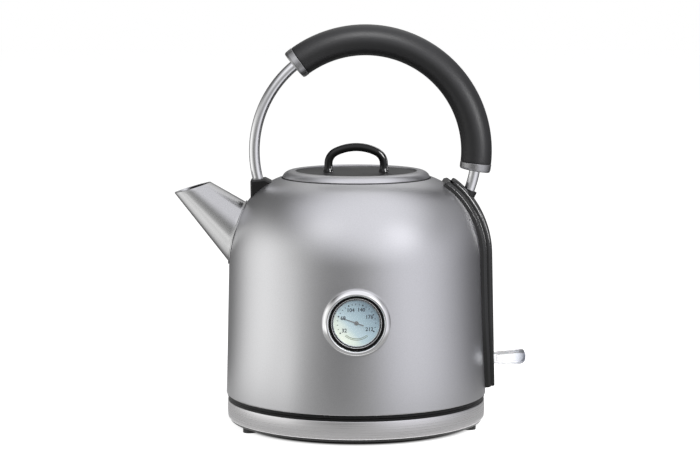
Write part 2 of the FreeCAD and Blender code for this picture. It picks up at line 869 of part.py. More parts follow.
def make_gauge_needle():
    """A tapered pointer with a tail, on a hub and a long thin arbor."""
    low = dial_front + 0.1
    wall = wall_radius(gauge_height)
    half = needle_width / 2
    items = [(-needle_tail, half), (-needle_tail, -half), (0, -half),
             (needle_length, -half / 4), (needle_length, half / 4), (0, half)]
    blade = plate_xz(items, -wall - low - needle_thickness, -wall - low)
    blade.rotate(vec(0, 0, 0), ALONG_Y, -needle_angle)
    blade.translate(UP * gauge_height)
    hub = gauge_ring(0, needle_hub_radius, low, low + 1.5 * needle_thickness)
    arbor = gauge_ring(0, arbor_radius, can_wall + fit_gap - can_depth, low + needle_thickness)
    return joined([blade, hub, arbor])


def make_gauge_coil():
    """The spiral bimetal strip, as half circles that widen from the arbor to the can."""
    outer_radius = can_radius - can_wall - fit_gap - coil_strip / 2
    step = (outer_radius - coil_inner_radius) / coil_half_turns
    wall = -wall_radius(gauge_height)

    def chain(shift):
        ends = [((-1) ** k * (coil_inner_radius + k * step + shift), 0) for k in range(coil_half_turns + 1)]
        arcs = []
        for k in range(coil_half_turns):
            middle = (ends[k][0] + ends[k + 1][0]) / 2
            radius = abs(ends[k][0] - ends[k + 1][0]) / 2
            arcs.append((ends[k], (middle, (-1) ** k * radius), ends[k + 1]))
        return arcs

    inner, outer = chain(-coil_strip / 2), chain(coil_strip / 2)
    items = [outer[0][0]] + [(via, end) for start, via, end in outer] + [inner[-1][2]]
    items += [(via, start) for start, via, end in reversed(inner)]
    at = wall + can_depth / 2
    strip = Part.Face(wire(items, lambda x, z: vec(x, at, gauge_height + z)))
    return strip.extrude(ALONG_Y * coil_height)


# Lid
def knob_screw_holes():
    top = lid_disc_top + knob_leg_height
    return [disc(knob_screw_radius + fit_gap, 0, top, side * knob_leg_spread) for side in (-1, 1)]


def make_lid_cap():
    """Sheet steel cap: a rim in the mouth, a rounded shoulder, a flat ring and a sunk pan."""
    low, edge = ledge_height + moving_gap, mouth_radius - mouth_gap
    pan = lid_disc_top - lid_disc_thickness
    step = lid_disc_radius + moving_gap
    flat = step + lid_flat_width
    bulge = lid_rise * 0.2
    via = ((edge + flat) / 2 + bulge, (seam_height + lid_top) / 2 + bulge)
    inner_via = (via[0] - 0.7 * sheet, via[1] - 0.7 * sheet)
    return turned([(0, pan), (step, pan), (step, lid_top), (flat, lid_top), (via, (edge, seam_height)),
                   (edge, low), (edge - sheet, low), (edge - sheet, seam_height - sheet / 4),
                   (inner_via, (flat - sheet / 4, lid_top - sheet)), (step + sheet, lid_top - sheet),
                   (step + sheet, pan - sheet), (0, pan - sheet)]).cut(knob_screw_holes())


def make_lid_disc():
    return disc(lid_disc_radius, lid_disc_top - lid_disc_thickness, lid_disc_top).cut(knob_screw_holes())


plug_radius = neck_radius - 3 * moving_gap
seal_low = plug_bottom + plug_wall


def make_lid_plug():
    """The moulded cup under the lid that fits the neck, with a groove for the seal."""
    groove, inner = plug_radius - plug_wall / 2, plug_radius - 1.5 * plug_wall
    bevel = plug_wall / 2
    return turned([(0, plug_bottom), (plug_radius - bevel, plug_bottom), (plug_radius, plug_bottom + bevel),
                   (plug_radius, seal_low), (groove, seal_low), (groove, seal_low + seal_height),
                   (plug_radius, seal_low + seal_height), (plug_radius, lid_pan_under),
                   (inner, lid_pan_under), (inner, plug_bottom + plug_wall), (0, plug_bottom + plug_wall)])


def make_lid_seal():
    root, lip = plug_radius - plug_wall / 2 + fit_gap, neck_radius - moving_gap
    low, high = seal_low + fit_gap, seal_low + seal_height - fit_gap
    middle = (low + high) / 2
    return turned([(root, low), (plug_radius, low), ((lip, middle), (plug_radius, high)), (root, high)])


def make_lid_knob():
    """A round bar bent into a three-centred arch, with flared feet on the lid's disc."""
    spring = lid_disc_top + knob_leg_height
    rise = knob_height - knob_leg_height - knob_section_radius
    corner, reach = knob_corner_radius, knob_leg_spread - knob_corner_radius
    crown = (reach ** 2 + rise ** 2 - corner ** 2) / (2 * (rise - corner))
    lean = math.atan2(reach, crown - rise)

    def bend(side, angle):
        return vec(side * (reach + corner * math.sin(angle)), 0, spring + corner * math.cos(angle))

    square, half_way = math.pi / 2, (math.pi / 2 + lean) / 2
    feet = [vec(side * knob_leg_spread, 0, lid_disc_top) for side in (-1, 1)]
    path = Part.Wire([Part.LineSegment(feet[0], bend(-1, square)).toShape(),
                      Part.Arc(bend(-1, square), bend(-1, half_way), bend(-1, lean)).toShape(),
                      Part.Arc(bend(-1, lean), vec(0, 0, spring + rise), bend(1, lean)).toShape(),
                      Part.Arc(bend(1, lean), bend(1, half_way), bend(1, square)).toShape(),
                      Part.LineSegment(bend(1, square), feet[1]).toShape()])
    bar = path.makePipeShell([Part.Wire(Part.makeCircle(knob_section_radius, feet[0], UP))], True, False)
    flares = [Part.makeCone(knob_foot_radius, knob_section_radius, knob_foot_radius, foot) for foot in feet]
    return joined([bar] + flares).cut(knob_screw_holes())


def make_knob_screws():
    length = lid_disc_top + knob_leg_height - lid_pan_under - moving_gap
    seats = [vec(side * knob_leg_spread, 0, lid_pan_under) for side in (-1, 1)]
    return Part.makeCompound([screw(knob_screw_radius, length, seat, UP) for seat in seats])


# Body and what is under the water
spreader_radius = switch_inner - spreader_gap
element_radius = spreader_radius - element_inset


def make_body_shell():
    """Wall and dome as one drawn sheet, open at the mouth, with its openings."""
    top_radius = mouth_radius + sheet + fit_gap
    items = wall_up(0, body_bottom, crown_end(0, top_radius))
    items += wall_down(-sheet, body_bottom, crown_end(-sheet, top_radius))
    openings = [spout_cone(-2 * filter_depth, spout_length / 2, sheet),
                gauge_ring(0, can_radius + fit_gap, -can_depth, bezel_depth),
                window_slot(-window_flange / 2), lever_opening(moving_gap)]
    return turned(items).cut(openings + duct_ports(FAR) + screw_bores(handle_screw_radius + fit_gap))


def make_neck_ring():
    """The pressed ring set into the dome: a rim flush with it, the lid's ledge and a straight neck."""
    under, neck_end = ledge_height - sheet, ledge_height - neck_length
    rim = mouth_radius + sheet
    return turned([(mouth_radius, ledge_height), (neck_radius, ledge_height), (neck_radius, neck_end),
                   (neck_radius + sheet, neck_end), (neck_radius + sheet, under), (rim, under),
                   on_crown(0, crown_end(0, rim)), (mouth_radius, seam_height)])


def make_heater_plate():
    """The dished floor of the water space, with three posts for the bottom cover's screws."""
    high, skin = heater_top + heater_flange, -sheet - fit_gap
    edge = wall_radius(high, skin)
    dish = turned([(0, heater_under), (wall_radius(heater_under, skin), heater_under), (edge, high),
                   (edge - sheet, high), (wall_radius(heater_top, skin) - sheet, heater_top),
                   (0, heater_top)])
    low = kettle_under + bottom_plate + fit_gap
    posts = round_spots(post_radius, low, heater_under, post_circle, thirds)
    bores = round_spots(post_screw_radius + fit_gap, low, low + 4 * post_radius, post_circle, thirds)
    return joined([dish] + posts).cut(bores)


def make_heat_spreader():
    return disc(spreader_radius, spreader_under, heater_under)


def make_heating_element():
    """A sheathed rod bent into an open ring, with its two pins turned down."""
    height = spreader_under - element_section_radius - fit_gap
    half = element_sweep / 2
    circle = Part.makeCircle(element_section_radius, vec(element_radius, 0, height), ALONG_Y)
    section = Part.Face(Part.Wire(circle))
    section.rotate(vec(0, 0, 0), UP, element_heading - half)
    rod = section.revolve(vec(0, 0, 0), UP, element_sweep)
    low = height - element_section_radius - element_pin_length
    inset = math.degrees(element_section_radius / element_radius)
    pins = round_spots(element_section_radius / 2, low, height, element_radius,
                       (element_heading - half + inset, element_heading + half - inset))
    return joined([rod] + pins)


def make_kettle_connector():
    """The turned socket under the heater: it takes the base's tower and holds a pin and a ring."""
    low, roof = recess_top + slip_ring_height + moving_gap, tower_top + socket_gap
    top = spreader_under - bimetal_thickness - 3 * fit_gap
    margin = (slot_outer_radius - slot_inner_radius) / 4
    inner, outer = slot_inner_radius + margin, slot_outer_radius - margin
    pin = core_hole_radius - socket_gap
    deep = tower_top - 0.7 * slot_depth
    return turned([(0, deep), (pin, deep), (pin, roof), (inner, roof), (inner, deep), (outer, deep),
                   (outer, roof), (socket_radius, roof), (socket_radius, low), (connector_radius, low),
                   (connector_radius, top), (0, top)])


def make_dry_boil_bimetals():
    high = spreader_under - fit_gap
    low = high - bimetal_thickness - fit_gap
    return Part.makeCompound(round_spots(bimetal_radius, low, high, 2 * bimetal_radius, (90, 270)))


def make_bottom_cover():
    """The black floor of the kettle: a rim under the steel and a wall inside it."""
    plate_top, wall_top = kettle_under + bottom_plate, body_bottom + 3 * skirt_height
    hole = connector_radius + 2 * fit_gap
    rim, wall = body_bottom_radius - base_inset, wall_radius(body_bottom, -sheet - moving_gap)
    bevel = skirt_height / 5
    cover = turned([(hole, kettle_under), (rim - bevel, kettle_under), (rim, kettle_under + bevel),
                    (rim, body_bottom), (wall, body_bottom), (wall, wall_top),
                    (wall - bottom_plate, wall_top), (wall - bottom_plate, plate_top), (hole, plate_top)])
    holes = round_spots(post_screw_radius + fit_gap, 0, plate_top + fit_gap, post_circle, thirds)
    sinks = round_spots(2 * post_screw_radius + fit_gap, 0, bottom_screw_seat, post_circle, thirds)
    return cover.cut(holes + sinks)


bottom_screw_seat = kettle_under + bottom_plate / 2


def make_bottom_screws():
    length = bottom_plate + 3 * post_radius
    seats = [on_circle(post_circle, angle, bottom_screw_seat) for angle in thirds]
    return Part.makeCompound([screw(post_screw_radius, length, seat, UP) for seat in seats])


# Power base
base_floor_top = foot_height + base_floor
base_wall_inner = base_inner_radius - base_wall
slot_bottom = tower_top - slot_depth
base_screw_seat = foot_height + base_floor / 2
base_hole = slip_ring_outer + moving_gap


def gland_hole():
    """The round way through the base's walls for the cord's bush."""
    return Part.makeCylinder(gland_radius + fit_gap, FAR, vec(0, 0, gland_height), ALONG_Y)


def make_base_plate():
    """The floor of the base, with a locating wall and sunk screw holes."""
    inner = base_wall_inner - fit_gap - base_wall
    outer = base_wall_inner - fit_gap
    plate = turned([(0, foot_height), (base_edge_radius - band_crown, foot_height),
                    (base_edge_radius, base_floor_top), (outer, base_floor_top), (outer, gland_height),
                    (inner, gland_height), (inner, base_floor_top), (0, base_floor_top)])
    holes = round_spots(base_screw_radius + fit_gap, 0, gland_height, base_screw_circle, thirds)
    sinks = round_spots(2 * base_screw_radius + fit_gap, 0, base_screw_seat, base_screw_circle, thirds)
    return plate.cut(holes + sinks + [gland_hole()])


def make_base_band():
    """The steel band, slightly barrel shaped."""
    inner, middle = base_edge_radius - band_wall, (band_low + band_top) / 2
    band = turned([(inner, band_low), (base_edge_radius, band_low),
                   ((band_radius, middle), (base_edge_radius, band_top)), (inner, band_top)])
    return band.cut(gland_hole())


def make_base_cover():
    """The top of the base: a raised rim, a shallow recess, a hanging wall and screw bosses."""
    recess_radius = base_edge_radius - base_rim_width
    bevel = base_rim_height / 5
    cover = turned([(base_hole, recess_under), (base_wall_inner, recess_under), (base_wall_inner, band_low),
                    (base_inner_radius, band_low), (base_inner_radius, rim_low), (base_edge_radius, rim_low),
                    (base_edge_radius, base_top - bevel), (base_edge_radius - bevel, base_top),
                    (recess_radius, base_top), (recess_radius - base_recess, recess_top),
                    (base_hole, recess_top)])
    low = base_floor_top + fit_gap
    bosses = round_spots(2.2 * base_screw_radius, low, recess_top - base_wall / 2, base_screw_circle, thirds)
    bores = round_spots(base_screw_radius + fit_gap, low, recess_under, base_screw_circle, thirds)
    return joined([cover] + bosses).cut(bores + [gland_hole()])


def make_base_connector():
    """The round tower that plugs into the kettle, with a core hole and a ring slot."""
    flange_top = recess_under - fit_gap
    flange = base_hole + 2 * base_wall
    return turned([(0, flange_top - base_wall), (flange, flange_top - base_wall), (flange, flange_top),
                   (tower_radius, flange_top), (tower_radius, tower_top), (slot_outer_radius, tower_top),
                   (slot_outer_radius, slot_bottom), (slot_inner_radius, slot_bottom),
                   (slot_inner_radius, tower_top), (core_hole_radius, tower_top),
                   (core_hole_radius, slot_bottom), (0, slot_bottom)])


def make_base_contacts():
    top = slot_bottom + contact_thickness
    outer_contact = ring(slot_inner_radius + fit_gap, slot_outer_radius - fit_gap, slot_bottom, top)
    return Part.makeCompound([outer_contact, disc(core_hole_radius - fit_gap, slot_bottom, top)])


def make_slip_ring():
    """The low ring round the tower that turns with the kettle."""
    low, high = recess_under + fit_gap, recess_top + slip_ring_height
    bevel = slip_ring_height / 4
    return turned([(slip_ring_inner, low), (slip_ring_outer, low), (slip_ring_outer, high - bevel),
                   (slip_ring_outer - bevel, high), (slip_ring_inner, high)])


def make_cord_gland():
    """A flanged bush in the back of the base, with the cord's bore through it."""
    start = base_wall_inner - 3 * base_wall
    seat = band_radius + fit_gap
    bush = Part.makeCylinder(gland_radius, seat - start, vec(0, start, gland_height), ALONG_Y)
    flange_radius = gland_radius + gland_wall / 2
    flange = Part.makeCylinder(flange_radius, gland_flange, vec(0, seat, gland_height), ALONG_Y)
    bore = Part.makeCylinder(gland_bore_radius, FAR, vec(0, 0, gland_height), ALONG_Y)
    return joined([bush, flange]).cut(bore)


def make_base_screws():
    length = recess_under - base_screw_seat - base_wall
    seats = [on_circle(base_screw_circle, angle, base_screw_seat) for angle in thirds]
    return Part.makeCompound([screw(base_screw_radius, length, seat, UP) for seat in seats])


def make_base_feet():
    return Part.makeCompound(round_spots(foot_radius, 0, foot_height, foot_circle, feet_angles))


nodes = {
    "base_feet": make_base_feet(),
    "base_plate": make_base_plate(),
    "base_band": make_base_band(),
    "base_cover": make_base_cover(),
    "base_screws": make_base_screws(),
    "base_connector": make_base_connector(),
    "base_contacts": make_base_contacts(),
    "cord_gland": make_cord_gland(),
    "slip_ring": make_slip_ring(),
    "body_shell": make_body_shell(),
    "neck_ring": make_neck_ring(),
    "heater_plate": make_heater_plate(),
    "heat_spreader": make_heat_spreader(),
    "heating_element": make_heating_element(),
    "kettle_connector": make_kettle_connector(),
    "dry_boil_bimetals": make_dry_boil_bimetals(),
    "bottom_cover": make_bottom_cover(),
    "bottom_screws": make_bottom_screws(),
    "spout": make_spout(),
    "spout_filter": make_spout_filter(),
    "handle_rod": make_handle_rod(),
    "handle_grip": make_handle_grip(),
    "grip_ferrule_front": make_ferrule(grip_front_angle, 1),
    "grip_ferrule_rear": make_ferrule(grip_rear_angle, -1),
    "front_bracket": make_front_bracket(),
    "rear_socket": make_rear_socket(),
    "handle_screws": make_handle_screws(),
    "back_frame": make_back_frame(),
    "back_cover": make_back_cover(),
    "water_window": make_water_window(),
    "steam_duct": make_steam_duct(),
    "steam_switch": make_steam_switch(),
    "steam_bimetal": make_steam_bimetal(),
    "switch_lever": make_switch_lever(),
    "lever_pin": pivot_pin(lever_pin_radius, ear_outer),
    "contact_plunger": make_contact_plunger(),
    "switch_lamp": make_switch_lamp(),
    "switch_wires": make_switch_wires(),
    "gauge_bezel": make_gauge_bezel(),
    "gauge_can": make_gauge_can(),
    "gauge_seal": make_gauge_seal(),
    "gauge_washer": make_gauge_washer(),
    "gauge_nut": make_gauge_nut(),
    "gauge_dial": make_gauge_dial(),
    "gauge_rim": make_gauge_rim(),
    "gauge_lens": make_gauge_lens(),
    "gauge_needle": make_gauge_needle(),
    "gauge_coil": make_gauge_coil(),
    "lid_cap": make_lid_cap(),
    "lid_disc": make_lid_disc(),
    "lid_plug": make_lid_plug(),
    "lid_seal": make_lid_seal(),
    "lid_knob": make_lid_knob(),
    "knob_screws": make_knob_screws(),
}
os.makedirs("parts", exist_ok=True)
for name, shape in nodes.items():
    shape.exportStep("parts/" + name + ".step")
    print(name, "solids", len(shape.Solids), "valid", shape.isValid(), "volume", round(shape.Volume, 1))
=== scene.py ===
# %% [markdown]
# # An electric kettle, from measured frame to finished picture
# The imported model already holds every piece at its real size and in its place. This lesson dresses it:
# steel that looks drawn and satin finished, a soft black grip, a chromed dial. Each visible shape is a
# surface worked out with numpy from a few sizes, so that it can be read as a drawing and not as a heap of
# points.

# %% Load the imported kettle
import json
import math

import bmesh
import bpy
import numpy as np
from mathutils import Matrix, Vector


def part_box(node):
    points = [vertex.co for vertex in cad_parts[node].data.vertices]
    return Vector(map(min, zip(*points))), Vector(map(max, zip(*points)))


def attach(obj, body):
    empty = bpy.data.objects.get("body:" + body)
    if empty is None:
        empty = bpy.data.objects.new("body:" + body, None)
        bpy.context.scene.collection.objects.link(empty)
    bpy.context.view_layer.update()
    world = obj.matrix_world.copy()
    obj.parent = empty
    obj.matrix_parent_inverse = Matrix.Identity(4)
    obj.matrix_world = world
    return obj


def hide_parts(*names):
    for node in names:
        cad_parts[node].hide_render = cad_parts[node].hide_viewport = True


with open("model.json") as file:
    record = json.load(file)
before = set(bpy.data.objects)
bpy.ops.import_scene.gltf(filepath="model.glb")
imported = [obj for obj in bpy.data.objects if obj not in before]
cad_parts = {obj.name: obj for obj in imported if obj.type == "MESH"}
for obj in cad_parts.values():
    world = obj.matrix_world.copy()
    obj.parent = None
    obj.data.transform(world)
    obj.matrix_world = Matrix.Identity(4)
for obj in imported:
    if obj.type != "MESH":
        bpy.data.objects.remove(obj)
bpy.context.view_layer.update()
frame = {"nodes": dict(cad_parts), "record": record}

MM = 0.001
scene = bpy.context.scene

# %% [markdown]
# ## Sizes that come from the frame
# A dressed surface has to sit exactly on its solid. So the main sizes are read from the boxes of the packed
# pieces, in millimetres, and only the radii that a box can't tell are written out here.


# %% Read the main sizes
def span(node):
    """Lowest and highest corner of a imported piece, in millimetres."""
    low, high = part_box(node)
    return np.array(low) / MM, np.array(high) / MM


# Thickness of the drawn steel, and a hair's clearance.
SHEET, HAIR = 0.8, 0.1
steel_low, steel_high = span("body_shell")
rim_low, rim_high = span("neck_ring")
foot_z, foot_radius = steel_low[2], steel_high[0]
seam_z, mouth_radius = rim_high[2], rim_high[0] - SHEET
print("body radius", round(foot_radius, 2), "mm, mouth", round(mouth_radius, 2), "mm at", round(seam_z, 2))

# %% [markdown]
# ## Helpers for surfaces
# A grid of points becomes a mesh by joining each point to its neighbours. Three kinds of surface are enough
# for the whole kettle: an outline turned about an axis, a round section carried along a path, and a sheet
# bent over the body. Blender's own primitives would be quicker, but their edges are razor sharp, and real
# edges never are.


# %% Grids and meshes
def grid_faces(rows, columns):
    """Quads between neighbouring rows and columns of a grid, as vertex numbers."""
    k = np.arange(rows * columns).reshape(rows, columns)
    return np.stack([k[:-1, :-1], k[:-1, 1:], k[1:, 1:], k[1:, :-1]], -1).reshape(-1, 4)


SHARP, WELD = math.radians(35), 0.002


def weld(mesh):
    """Merge points that coincide at seams and poles, and drop points that no face uses."""
    work = bmesh.new()
    work.from_mesh(mesh)
    bmesh.ops.remove_doubles(work, verts=work.verts, dist=WELD * MM)
    bmesh.ops.delete(work, geom=[v for v in work.verts if not v.link_faces], context="VERTS")
    work.to_mesh(mesh)
    work.free()


def add_piece(name, points, body, finish, replaced=(), faces=None):
    """Make a smooth mesh from a grid of points in millimetres and let it ride on a body."""
    if faces is None:
        faces = grid_faces(*points.shape[:2]).tolist()
    mesh = bpy.data.meshes.new(name)
    mesh.from_pydata((points.reshape(-1, 3) * MM).tolist(), [], faces)
    weld(mesh)
    mesh.shade_smooth()
    mesh.set_sharp_from_angle(angle=SHARP)
    mesh.materials.append(finish)
    piece = bpy.data.objects.new(name, mesh)
    scene.collection.objects.link(piece)
    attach(piece, body)
    if replaced:
        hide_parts(*replaced)
    print(name, len(mesh.polygons), "faces")
    return piece


def thicken(piece, thickness, even=False):
    """Give a sheet its wall in millimetres, inwards from its face."""
    wall = piece.modifiers.new("wall", "SOLIDIFY")
    wall.thickness = thickness * MM
    wall.offset = -1.0
    wall.use_even_offset = even


# %% Outlines with soft corners
CORNER_ROOM, CORNER_HOLD = 0.45, 0.1


def arc(start, via, end, count):
    """Points of the circle through three points, from the first to the last."""
    (ax, ay), (bx, by), (cx, cy) = start, via, end
    d = 2 * (ax * (by - cy) + bx * (cy - ay) + cx * (ay - by))
    a2, b2, c2 = ax * ax + ay * ay, bx * bx + by * by, cx * cx + cy * cy
    ux = (a2 * (by - cy) + b2 * (cy - ay) + c2 * (ay - by)) / d
    uy = (a2 * (cx - bx) + b2 * (ax - cx) + c2 * (bx - ax)) / d
    turns = np.unwrap([math.atan2(y - uy, x - ux) for x, y in (start, via, end)])
    turn = np.linspace(turns[0], turns[2], count)
    radius = math.hypot(ax - ux, ay - uy)
    return np.stack([ux + radius * np.cos(turn), uy + radius * np.sin(turn)], -1)


def rounded(corners, closed=True, steps=7):
    """Straight runs whose corners (a, b, radius) become arcs: conics with the corner as middle control."""
    points, count = [], len(corners)
    for k, (a, b, radius) in enumerate(corners):
        here = np.array([a, b], float)
        if radius == 0 or (not closed and k in (0, count - 1)):
            points.append(here[None])
            continue
        back = np.array(corners[k - 1][:2]) - here
        ahead = np.array(corners[(k + 1) % count][:2]) - here
        room = CORNER_ROOM * min(np.linalg.norm(back), np.linalg.norm(ahead))
        back, ahead = back / np.linalg.norm(back), ahead / np.linalg.norm(ahead)
        half = math.acos(np.clip(back @ ahead, -1, 1)) / 2
        trim = min(radius / math.tan(half), room)
        s = np.linspace(0, 1, steps)[:, None]
        middle = 2 * s * (1 - s) * math.sin(half)
        curve = (1 - s) ** 2 * (here + back * trim) + middle * here + s ** 2 * (here + ahead * trim)
        curve = curve / ((1 - s) ** 2 + middle + s ** 2)
        hold = CORNER_HOLD * trim
        points += [(curve[0] + back * hold)[None], curve, (curve[-1] + ahead * hold)[None]]
    points = np.concatenate(points)
    return np.concatenate([points, points[:1]]) if closed else points


# %% Turned and carried surfaces
def polar(radius, degrees):
    """Flat point at a radius and an angle: (radius cos a, radius sin a)."""
    turns = np.radians(degrees)
    return np.stack([radius * np.cos(turns), radius * np.sin(turns)], -1)


def upright(x, y, h):
    """Turned coordinates about the upright axis, kept as they are."""
    return np.stack([x, y, h], -1)


def turned(outline, columns=192, place=upright):
    """Outline point (r, h) at angle a lands on place(r cos a, r sin a, h)."""
    a = np.linspace(math.pi / 2, 2.5 * math.pi, columns + 1)
    r, h = outline[:, :1], outline[:, 1:]
    return place(r * np.cos(a), r * np.sin(a), h + 0 * a)


def carried(path, heading, radius, columns):
    """Round section along a path in XZ: centre + radius (cos q n + sin q Y), n square to the heading."""
    q = np.linspace(0, 2 * math.pi, columns + 1)[None, :, None]
    side = np.stack([heading[:, 1], 0 * heading[:, 0], -heading[:, 0]], -1)[:, None]
    centre = np.stack([path[:, 0], 0 * path[:, 0], path[:, 1]], -1)[:, None]
    return centre + np.asarray(radius)[:, None, None] * (np.cos(q) * side + np.sin(q) * np.array([0, 1.0, 0]))


# %% [markdown]
# ## Camera
# The picture was taken from in front and a little above, with a long lens that keeps upright lines upright.
# The distance, height and tilt were fitted to the round edges of the lid, the foot and the base.

# %% Stand the camera in front
PICTURE_WIDTH_PX, FOCAL_PX, SENSOR = 700, 2285.0, 36.0
CAMERA_AT, CAMERA_TILT = (-0.0042, -1.553, 0.319), 6.94
camera_data = bpy.data.cameras.new("front_camera")
camera_data.sensor_width = SENSOR
camera_data.lens = camera_data.sensor_width * FOCAL_PX / PICTURE_WIDTH_PX
camera = bpy.data.objects.new("front_camera", camera_data)
camera.location = CAMERA_AT
camera.rotation_euler = (math.radians(90 - CAMERA_TILT), 0, 0)
scene.collection.objects.link(camera)
scene.camera = camera
print("lens", round(camera_data.lens, 1), "mm")

# %% [markdown]
# ## Studio
# Steel shows its surroundings more than its own colour, so a metal pot is photographed inside a small tent
# of white and grey cloth. Here the tent is a dome that only reflections see: a bright side at the left, a
# cooler one at the right, grey towards the camera, dark behind, and soft lights overhead. Two lamps outside
# it light what is matt and stay out of reflections. The small lamps inside it are kept to the black parts,
# for glints that the tent is too soft to give. The floor is pale and keeps the shadow, and close under the
# base its glow is taken away, which paints a dark contact shadow there.


# %% Node tools
def add_node(tree, kind, inputs=None, **settings):
    """A new node with its properties set; each input is joined to a socket or gets a fixed value."""
    node = tree.nodes.new("ShaderNode" + kind)
    for key, value in settings.items():
        setattr(node, key, value)
    for place, value in (inputs or {}).items():
        if isinstance(value, bpy.types.NodeSocket):
            tree.links.new(value, node.inputs[place])
        else:
            node.inputs[place].default_value = value
    return node


def own_place(tree):
    """The point's place in its object's own coordinates, in metres."""
    return add_node(tree, "TexCoord").outputs["Object"]


def vector_math(tree, operation, first, second=None, scale=None):
    """One step of vector arithmetic on sockets or fixed values."""
    values = {0: first, 1: second, 3: scale}
    given = {place: value for place, value in values.items() if value is not None}
    node = add_node(tree, "VectorMath", given, operation=operation)
    return node.outputs["Value" if operation == "DOT_PRODUCT" else "Vector"]


def eased(tree, value, start, end, top=1.0):
    """0 below start and top above end, smooth between; start may be the larger."""
    ends = {"Value": value, "From Min": start, "From Max": end, "To Max": top}
    return add_node(tree, "MapRange", ends, interpolation_type="SMOOTHSTEP").outputs[0]


def blended(tree, first, second, share):
    """First colour plus a share of the way to the second."""
    way = vector_math(tree, "SUBTRACT", second, first)
    return vector_math(tree, "ADD", vector_math(tree, "SCALE", way, scale=share), first)


def colour_ramp(tree, factor, stops):
    """Colours along a factor, as (place, colour) stops."""
    ramp = add_node(tree, "ValToRGB", {0: factor})
    elements = ramp.color_ramp.elements
    while len(elements) < len(stops):
        elements.new(0.5)
    for element, (place, colour) in zip(elements, stops):
        element.position = place
        element.color = (*colour, 1)
    return ramp.outputs[0]


# %% Light tools
BLUISH = (0.98, 0.98, 1.04)


def shade(grey, tint=(1, 1, 1)):
    """A colour as a grey times a tint."""
    return tuple(grey * part for part in tint)


def bare_material(name):
    """A material with an empty node tree, and that tree."""
    material = bpy.data.materials.new(name)
    material.use_nodes = True
    material.node_tree.nodes.clear()
    return material, material.node_tree


def stage_mesh(name, points, material):
    """A grid in metres that belongs to the studio and not to the kettle."""
    mesh = bpy.data.meshes.new(name)
    mesh.from_pydata(points.reshape(-1, 3).tolist(), [], grid_faces(*points.shape[:2]).tolist())
    mesh.shade_smooth()
    mesh.materials.append(material)
    piece = bpy.data.objects.new(name, mesh)
    scene.collection.objects.link(piece)
    return piece


def towards(azimuth, elevation):
    """Unit direction at an azimuth in degrees from the camera's side towards +X, and an elevation."""
    az, el = math.radians(azimuth), math.radians(elevation)
    return np.array([math.sin(az) * math.cos(el), -math.cos(az) * math.cos(el), math.sin(el)])


# %% Colours of the tent
TENT_MIDDLE = 0.10
# Colour of the sides at an azimuth in degrees.
TENT_SIDES = {-158: shade(0.10), -136: shade(0.11), -118: shade(0.45), -101: shade(1.12), -80: shade(1.30),
              -62: shade(1.00), -45: shade(0.60), -28: shade(0.30), -10: shade(0.185), 9: shade(0.38),
              30: shade(0.88, BLUISH), 48: shade(1.02, BLUISH), 68: shade(0.84, BLUISH),
              90: shade(0.48, BLUISH), 112: shade(0.17, BLUISH), 140: shade(0.06), 180: shade(0.22)}
ROOF_GREY, GROUND_GREY = shade(0.14), shade(0.44)
# Elevations between which the roof gives way to the sides, and the sides to the ground.
ROOF_TO_SIDES, SIDES_TO_GROUND = (42, 12), (-18, -34)
# Azimuth, elevation, the angles from its middle where a light begins to fade and is gone, and its colour.
TENT_LIGHTS = [(8, 60, 16, 62, shade(0.95, BLUISH)), (45, 33, 3, 18, shade(0.6, BLUISH)),
               (-34, 40, 3, 18, shade(0.3)), (118, 45, 8, 48, shade(0.24, BLUISH)),
               (178, 56, 8, 34, shade(0.66)), (-54, -17, 2, 11, shade(0.6))]
print("tent with", len(TENT_SIDES), "stops round it and", len(TENT_LIGHTS), "lights")

# %% Tent cloth
tent_cloth, tree = bare_material("tent_cloth")
aim = vector_math(tree, "NORMALIZE", vector_math(tree, "SUBTRACT", own_place(tree), (0, 0, TENT_MIDDLE)))
round_the_pot = add_node(tree, "TexGradient", {0: aim}, gradient_type="RADIAL").outputs[0]
stops = sorted(((0.25 + azimuth / 360) % 1, colour) for azimuth, colour in TENT_SIDES.items())
sides = colour_ramp(tree, round_the_pot, stops)
height = vector_math(tree, "DOT_PRODUCT", aim, (0, 0, 1))
low_share = eased(tree, height, *np.sin(np.radians(ROOF_TO_SIDES)))
ground_share = eased(tree, height, *np.sin(np.radians(SIDES_TO_GROUND)))
glow = blended(tree, blended(tree, ROOF_GREY, sides, low_share), GROUND_GREY, ground_share)
for azimuth, elevation, inner, outer, colour in TENT_LIGHTS:
    nearness = vector_math(tree, "DOT_PRODUCT", aim, towards(azimuth, elevation))
    share = eased(tree, nearness, *np.cos(np.radians((outer, inner))))
    glow = vector_math(tree, "ADD", glow, vector_math(tree, "SCALE", colour, scale=share))
light = add_node(tree, "Emission", {"Color": glow})
add_node(tree, "OutputMaterial", {"Surface": light.outputs[0]})
print("tent cloth of", len(tree.nodes), "nodes")

# %% Tent
TENT_RADIUS, GROUND_CLOTH, STAND_RADIUS = 0.55, 0.0008, 0.0935
skirt = math.asin((GROUND_CLOTH - TENT_MIDDLE) / TENT_RADIUS)
dome = TENT_RADIUS * polar(1.0, np.degrees(np.linspace(math.pi / 2, skirt, 24))) + [0, TENT_MIDDLE]
cloth_edge = np.array([(STAND_RADIUS, GROUND_CLOTH)])
tent = stage_mesh("tent", turned(np.concatenate([dome, cloth_edge]), 72), tent_cloth)
for kind in ("camera", "diffuse", "shadow", "transmission", "volume_scatter"):
    setattr(tent, "visible_" + kind, False)
print("tent", TENT_RADIUS, "m in radius")

# %% Lamps
LAMP_AIM = np.array([0, 0, 0.12])
black_parts, grip_alone = (bpy.data.collections.new(name) for name in ("black_parts", "grip_alone"))


